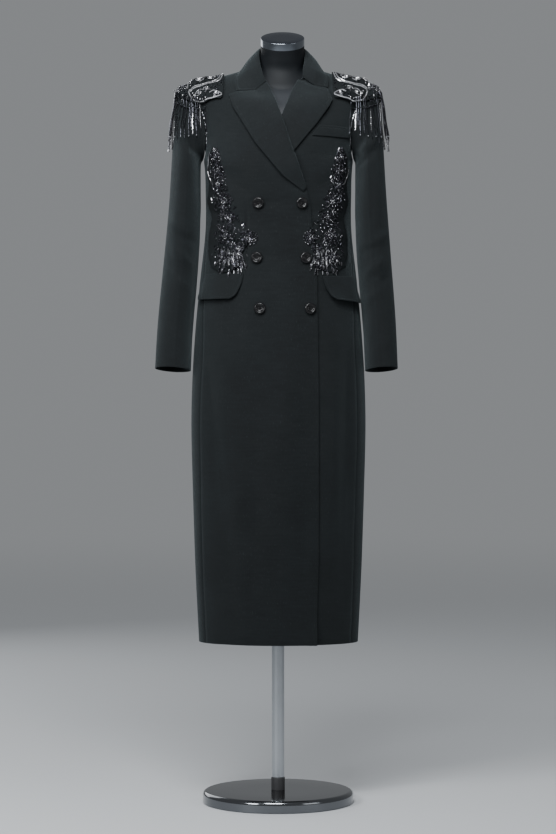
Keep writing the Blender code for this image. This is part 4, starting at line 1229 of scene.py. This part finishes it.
def awayFrom(axis, place):
    return Vector((place[0] - axis[0], place[1] - axis[1], 0.0)).normalized()


def pushedOut(tree, axis, place, clear):
    away = awayFrom(axis, place)
    reach = farthestHit(tree, Vector(place), away, fringe["seam"])
    return np.array(Vector(place) + away * max(reach + clear, 0.0))


def strandPath(tree, axis, start, length):
    path = [np.array(start)]
    for part in range(2 * fringe["parts"]):
        sway = fringe["sway"] * np.array((math.sin(part), math.cos(1.3 * part), 0.0))
        target = path[-1] - np.array((0.0, 0.0, length / (2 * fringe["parts"]))) + sway
        path.append(pushedOut(tree, axis, target, fringe["strandLay"]))
    return np.array(path)


def strandBeads(plan, path, axis, number, fine, bright):
    last = len(path) - 1
    dense = np.array([throughRows(path, at) for at in np.linspace(0, last, 6 * last + 1)])
    reached = runs(np.linalg.norm(np.diff(dense, axis=0), axis=1))

    def placeAt(at):
        return Vector([np.interp(at, reached, column) for column in dense.T])

    at, k = 0.001, 0
    glint = random.random() * 6.3
    while at < reached[-1]:
        bugle = k % 3 != 2
        length = fringe["bugle"][fine] if bugle else fringe["spacer"]
        middle = at + length / 2
        place = placeAt(middle)
        forward = (placeAt(middle + 0.002) - placeAt(middle - 0.002)).normalized()
        wave = 0.5 + 0.5 * math.sin(glint + 38 * at)
        tone = 0.08 + (0.8 if bright else 0.22) * wave**3 + 0.1 * random.random()
        bead = ("fineDrop" if fine else "drop") if bugle else "spacer"
        plan.put(bead, place, forward, awayFrom(axis, place), tone)
        at += length + fringe["slack"]
        k += 1
    if number % 8 == 1:
        plan.put("endStone", Vector(dense[-1]), awayFrom(axis, dense[-1]), Vector((0.0, 0.0, -1.0)), 0.85)


def fringePieces(side, hand):
    cloth = ("front" + hand, "coatBack", "sleeve" + hand)
    tree, overNet = clothTree(*cloth), clothTree(*cloth, "epauletteNet" + hand)
    axis = (side * fringe["axisX"], 0.0)
    turns, heights, lengths = zip(*fringe["path"])
    steps = 2 * (2 * fringe["strands"] + 1)
    rows = [[], [], []]
    plan = BeadPlan()
    for k in range(steps + 1):
        turn = np.interp(k, (0, steps), (turns[0], turns[-1]))
        s, c = sinCos(turn)
        away = np.array((side * c, s, 0.0))
        start = np.array((*axis, np.interp(turn, turns, heights))) + 0.01 * away
        for row, up in zip(rows, (0.0, 0.5, 1.0)):
            place = start + np.array((0, 0, up * fringe["stripHigh"]))
            thick = fringe["stripThick"] + 0.0003 * math.sin(math.pi * up)
            row.append(pushedOut(tree, axis, place, fringe["stripLay"]) + thick * away)
        place, away = Vector(rows[1][-1]), Vector(away)
        plan.put("braidBead", place + 0.0008 * away, Vector((0, 0, 1)), away, 0.08 + 0.14 * (k % 2))
        # a strand at every other bead, each second one finer, with some of these left out
        fine = k % 4 == 3
        if k % 2 == 0 or (fine and k % 8 == 3):
            continue
        above = np.interp(turn, *zip(*fringe["above"]))
        length = np.interp(turn, turns, lengths) * (1 + fringe["uneven"] * math.sin(2.4 * k)) + above
        top = pushedOut(overNet, axis, start + np.array((0.0, 0.0, above)), fringe["netLay"])
        path = strandPath(overNet, axis, top, length * (0.88 if fine else 1.0))
        strandBeads(plan, path, axis, k, fine, k % 8 == 5)
    clothShell("fringeBraid" + hand, rows, gloss["blackNet"], axis, thickness=fringe["thickness"])
    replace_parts(plan.make("fringeBeads" + hand), "fringe_" + hand.lower())


def seamBeads(side, hand):
    # a dotted line of beads down the armhole's front seam
    tree = clothTree("front" + hand, "sleeve" + hand)
    plan = BeadPlan()

    def angleOf(level):
        return side * (sideAngle(level, coat["armholeFront"]) - 1.8)

    for k, level in enumerate(np.linspace(9.35, 10.55, 44)):
        if k % 5 == 4:
            continue
        place, away = coatPoint(angleOf(level), level), coatNormal(angleOf(level), level)
        forward = (Vector(coatPoint(angleOf(level + 0.02), level + 0.02)) - Vector(place)).normalized()
        spot = Vector(laidOn(tree, place, away, 0.0012))
        bead = "braidBead" if k % 3 else "seamBugle"
        plan.put(bead, spot, forward, Vector(away), 0.35 + 0.5 * random.random())
    plan.make("seamBeads" + hand)


for side, hand in hands:
    fringePieces(side, hand)
for side, hand in hands:
    seamBeads(side, hand)
for template in list(beadKept.objects):
    bpy.data.objects.remove(template)
bpy.data.collections.remove(beadKept)
print("fringes ready")

# the dress form, its cap, the pole and the base
form = {
    # how far it stands in from the coat at each level
    "ease": (
        (3, 0.012), (6, 0.01), (7, 0.008), (9, 0.005), (10, 0.0032), (11, 0.0024), (12, 0.0016), (13, 0.001)),
    "bottomLevel": 3.35, "bottoms": ((0.8, 0.85), (0.88, 0.853), (0.97, 0.866)), "around": 112,
    # the neck's rings: middle and radius
    "neckTilt": 22.0, "neck": (
        (0.0093, -0.006, 1.658, 0.053), (0.0098, -0.016, 1.682, 0.0492), (0.0102, -0.0247, 1.7008, 0.0487)),
    "capRadius": 0.0487, "capThick": 0.016, "capEdge": 0.0012,
    # painted light: the chest below darkFrom is coloured lighter grey where the top light falls on its upward
    # slope, blending into the form's own near black above darkTo
    "dark": (0.0025, 0.0034, 0.0044), "low": (0.019, 0.021, 0.024), "haze": (0.035, 0.04, 0.046),
    "darkFrom": 1.583, "darkTo": 1.612, "specular": 0.16,
}
stand = {
    "baseRadius": 0.17, "baseThick": 0.027, "baseEdge": 0.01, "baseChamfer": 0.0012, "poleRadius": 0.014,
    "footRadius": 0.0155, "footHeight": 0.029, "footEdge": 0.0015, "formBottom": 0.85,
}


def formMaterial():
    finish = Finish("formGloss", Base_Color=(0.1, 0.11, 0.12), Specular_IOR_Level=form["specular"])
    height = finish.add("SeparateXYZ", Vector=finish.place).outputs["Z"]
    lift = finish.add("MapRange", Value=height, From_Min=form["darkFrom"], From_Max=form["darkTo"]).outputs[0]
    cloud = finish.cloud(finish.place, 35.0, 3.0)
    # painted highlight on the chest: lighter grey low down, blending by height into the dark neck
    colour = finish.mix(lift, form["low"], form["dark"])
    rough = finish.calc("MULTIPLY_ADD", lift, 0.12, 0.46)
    finish.feed(
        finish.shader, Base_Color=finish.mix(finish.calc("MULTIPLY", cloud, 0.1), colour, form["haze"]),
        Roughness=finish.calc("MULTIPLY_ADD", cloud, 0.08, rough), Normal=finish.bump(cloud, 0.2, 0.0002))
    return finish.made


def dressForm():
    around = form["around"]
    rings = []
    for level in (*np.linspace(form["bottomLevel"], 9.0, 45), *np.linspace(9.12, 13.0, 34)):
        inset = wall + np.interp(level, *zip(*form["ease"]))
        rings.append(np.array([coatPoint(360 * k / around, level, -inset) for k in range(around)]))
    middle = rings[0].mean(axis=0)
    under = []
    for share, height in form["bottoms"]:
        under.append(middle + share * (rings[0] - middle))
        under[-1][:, 2] = height
    low = [throughRows([*under, rings[0]], at) for at in np.linspace(0, 3, 13)]
    s, c = sinCos(form["neckTilt"])
    neck = []
    for x, y, z, radius in form["neck"]:
        turns = [2 * math.pi * k / around for k in range(around)]
        neck.append(np.array([
            (x + radius * math.sin(a), y - radius * c * math.cos(a), z - radius * s * math.cos(a)) for a in turns]))
    high = [throughRows([rings[-4], rings[-1], *neck], at) for at in np.linspace(1, 4, 22)][1:]
    every = [under[0].mean(axis=0) + 0 * under[0], *low[:-1], *rings, *high, neck[-1].mean(axis=0) + 0 * neck[-1]]
    piece = solidPiece("dressForm", [[*ring, ring[0]] for ring in every], formMaterial())
    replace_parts(piece, "form_torso")


def disc(radius, edge, low, high, steps, *halfway):
    # a profile with a rounded upper rim, from the middle of the top to the middle of the underside
    turns = [0.5 * math.pi * (1 - k / steps) for k in range(steps + 1)]
    rim = [polar(radius - edge, high - edge, edge, a) for a in turns]
    return [(0.0, high), *((ring, high) for ring in halfway), *rim, (radius, low), (0.0, low)]


def standPieces():
    s, c = sinCos(form["neckTilt"])
    x, y, z, _ = form["neck"][-1]
    profile = disc(form["capRadius"], form["capEdge"], 0.0, form["capThick"], 5, 0.5 * form["capRadius"])
    cap = turnedPiece("neckCap", profile, gloss["capSteel"], 96, (x, y - gap * s, z + gap * c), (0.0, -s, c))
    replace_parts(cap, "neck_cap")
    # the top face is darker than the turned rim
    cap.data.materials.append(gloss["capFace"])
    for polygon in cap.data.polygons:
        if polygon.normal.dot(Vector((0.0, -s, c))) > 0.98:
            polygon.material_index = 1
    radius, chamfer = stand["baseRadius"], stand["baseChamfer"]
    profile = disc(radius, stand["baseEdge"], 0.0, stand["baseThick"], 12, 0.08)
    profile[-2:] = [(radius, chamfer), (radius - chamfer, 0.0), (0.0, 0.0)]
    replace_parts(turnedPiece("baseDisc", profile, gloss["baseChrome"], 160), "base_disc")
    low = stand["baseThick"] + gap
    high = low + stand["footHeight"]
    profile = disc(stand["footRadius"], stand["footEdge"], low, high, 5)
    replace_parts(turnedPiece("poleCollar", profile, gloss["footRubber"], 64), "pole_collar")
    low, high, radius = high + gap, stand["formBottom"] - gap, stand["poleRadius"]
    profile = [(0.0, high), (radius, high), (radius, low), (0.0, low)]
    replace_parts(turnedPiece("standPole", profile, gloss["poleSteel"], 64), "pole")


dressForm()
standPieces()
print("form and stand ready")


def paired(*stems):
    return [stem + hand for stem in stems for _, hand in hands]


# the record's slot for each piece, only listed; the loop below assigns nothing
slots = {
    "black_wool": paired("front", "sleeve", "lapel", "flap") + ["coatBack", "coatCollar", "breastWelt"],
    "black_horn": [f"{part}{k}" for part in ("button", "buttonThread") for k in range(1, 7)],
    "dark_beads": paired("vineNet", "vineBeads"),
    "silver_beads": paired("epauletteNet", "epauletteBeads", "fringeBraid", "fringeBeads", "seamBeads"),
    "form_gloss": ["dressForm"], "cap_steel": ["neckCap"], "pole_steel": ["standPole"],
    "foot_rubber": ["poleCollar"], "base_chrome": ["baseDisc"],
}
for slot, names in slots.items():
    for name in names:
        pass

# the room: a pale floor, soft light and the camera at the photograph's angle
room = {
    "colour": (0.8, 0.83, 0.86), "strength": 0.3, "fadeFrom": 1.6, "fadeTo": 9.0,
    "floor": (0.55, 0.565, 0.58), "floorHalf": 30.0, "floorDrop": 0.0005, "lightColour": (0.96, 0.98, 1.0),
    # place, target, size and power of each light
    "lights": {
        "overhead": ((-0.25, -1.6, 2.75), (0.0, 0.0, 1.5), 1.1, 88),
        "leftWindow": ((-2.2, -2.4, 2.3), (0.0, 0.0, 1.45), 1.0, 78),
        "rightFill": ((3.2, -2.3, 2.0), (0.0, 0.0, 1.2), 1.8, 24),
        "rearRim": ((-1.9, 3.0, 1.7), (0.0, 0.0, 1.2), 2.0, 30),
    },
    "camera": (0.0, -6.4, 1.05), "cameraTilt": 90 - 1.62, "lens": 122.8, "sensor": 36.0,
}


def floorMaterial():
    # the floor fades into the room's own colour away from the stand
    finish = Finish("paleFloor", Base_Color=room["floor"], Roughness=0.6)
    reach = finish.add("VectorMath", operation="LENGTH", Vector=finish.place).outputs["Value"]
    fade = finish.add(
        "MapRange", interpolation_type="SMOOTHSTEP", Value=reach, From_Min=room["fadeFrom"],
        From_Max=room["fadeTo"]).outputs[0]
    haze = finish.add("Emission", Strength=room["strength"], Color=room["colour"])
    mix = finish.add("MixShader", Fac=fade)
    for socket, node in zip(mix.inputs[1:], (finish.shader, haze)):
        finish.tree.links.new(node.outputs[0], socket)
    finish.feed(finish.tree.nodes["Material Output"], Surface=mix.outputs[0])
    return finish.made


made = bmesh.new()
bmesh.ops.create_grid(made, x_segments=2, y_segments=2, size=room["floorHalf"])
bmesh.ops.translate(made, verts=made.verts, vec=(0.0, 0.0, -room["floorDrop"]))
floorMesh = bpy.data.meshes.new("floor")
made.to_mesh(floorMesh)
made.free()
floorMesh.materials.append(floorMaterial())
inScene("floor", floorMesh)

world = bpy.data.worlds.new("softRoom")
bpy.context.scene.world = world
world.use_nodes = True
background = world.node_tree.nodes["Background"]
background.inputs["Color"].default_value = (*room["colour"], 1)
background.inputs["Strength"].default_value = room["strength"]

for name, (place, target, size, power) in room["lights"].items():
    lamp = bpy.data.lights.new(name, "AREA")
    lamp.energy, lamp.size, lamp.color = power, size, room["lightColour"]
    holder = inScene(name, lamp)
    holder.location = place
    holder.rotation_euler = (Vector(target) - Vector(place)).to_track_quat("-Z", "Y").to_euler()

view = bpy.data.cameras.new("photoView")
view.lens, view.sensor_width = room["lens"], room["sensor"]
camera = inScene("photoView", view)
camera.location = room["camera"]
camera.rotation_euler = (math.radians(room["cameraTilt"]), 0.0, 0.0)
bpy.context.scene.camera = camera
print("room ready")
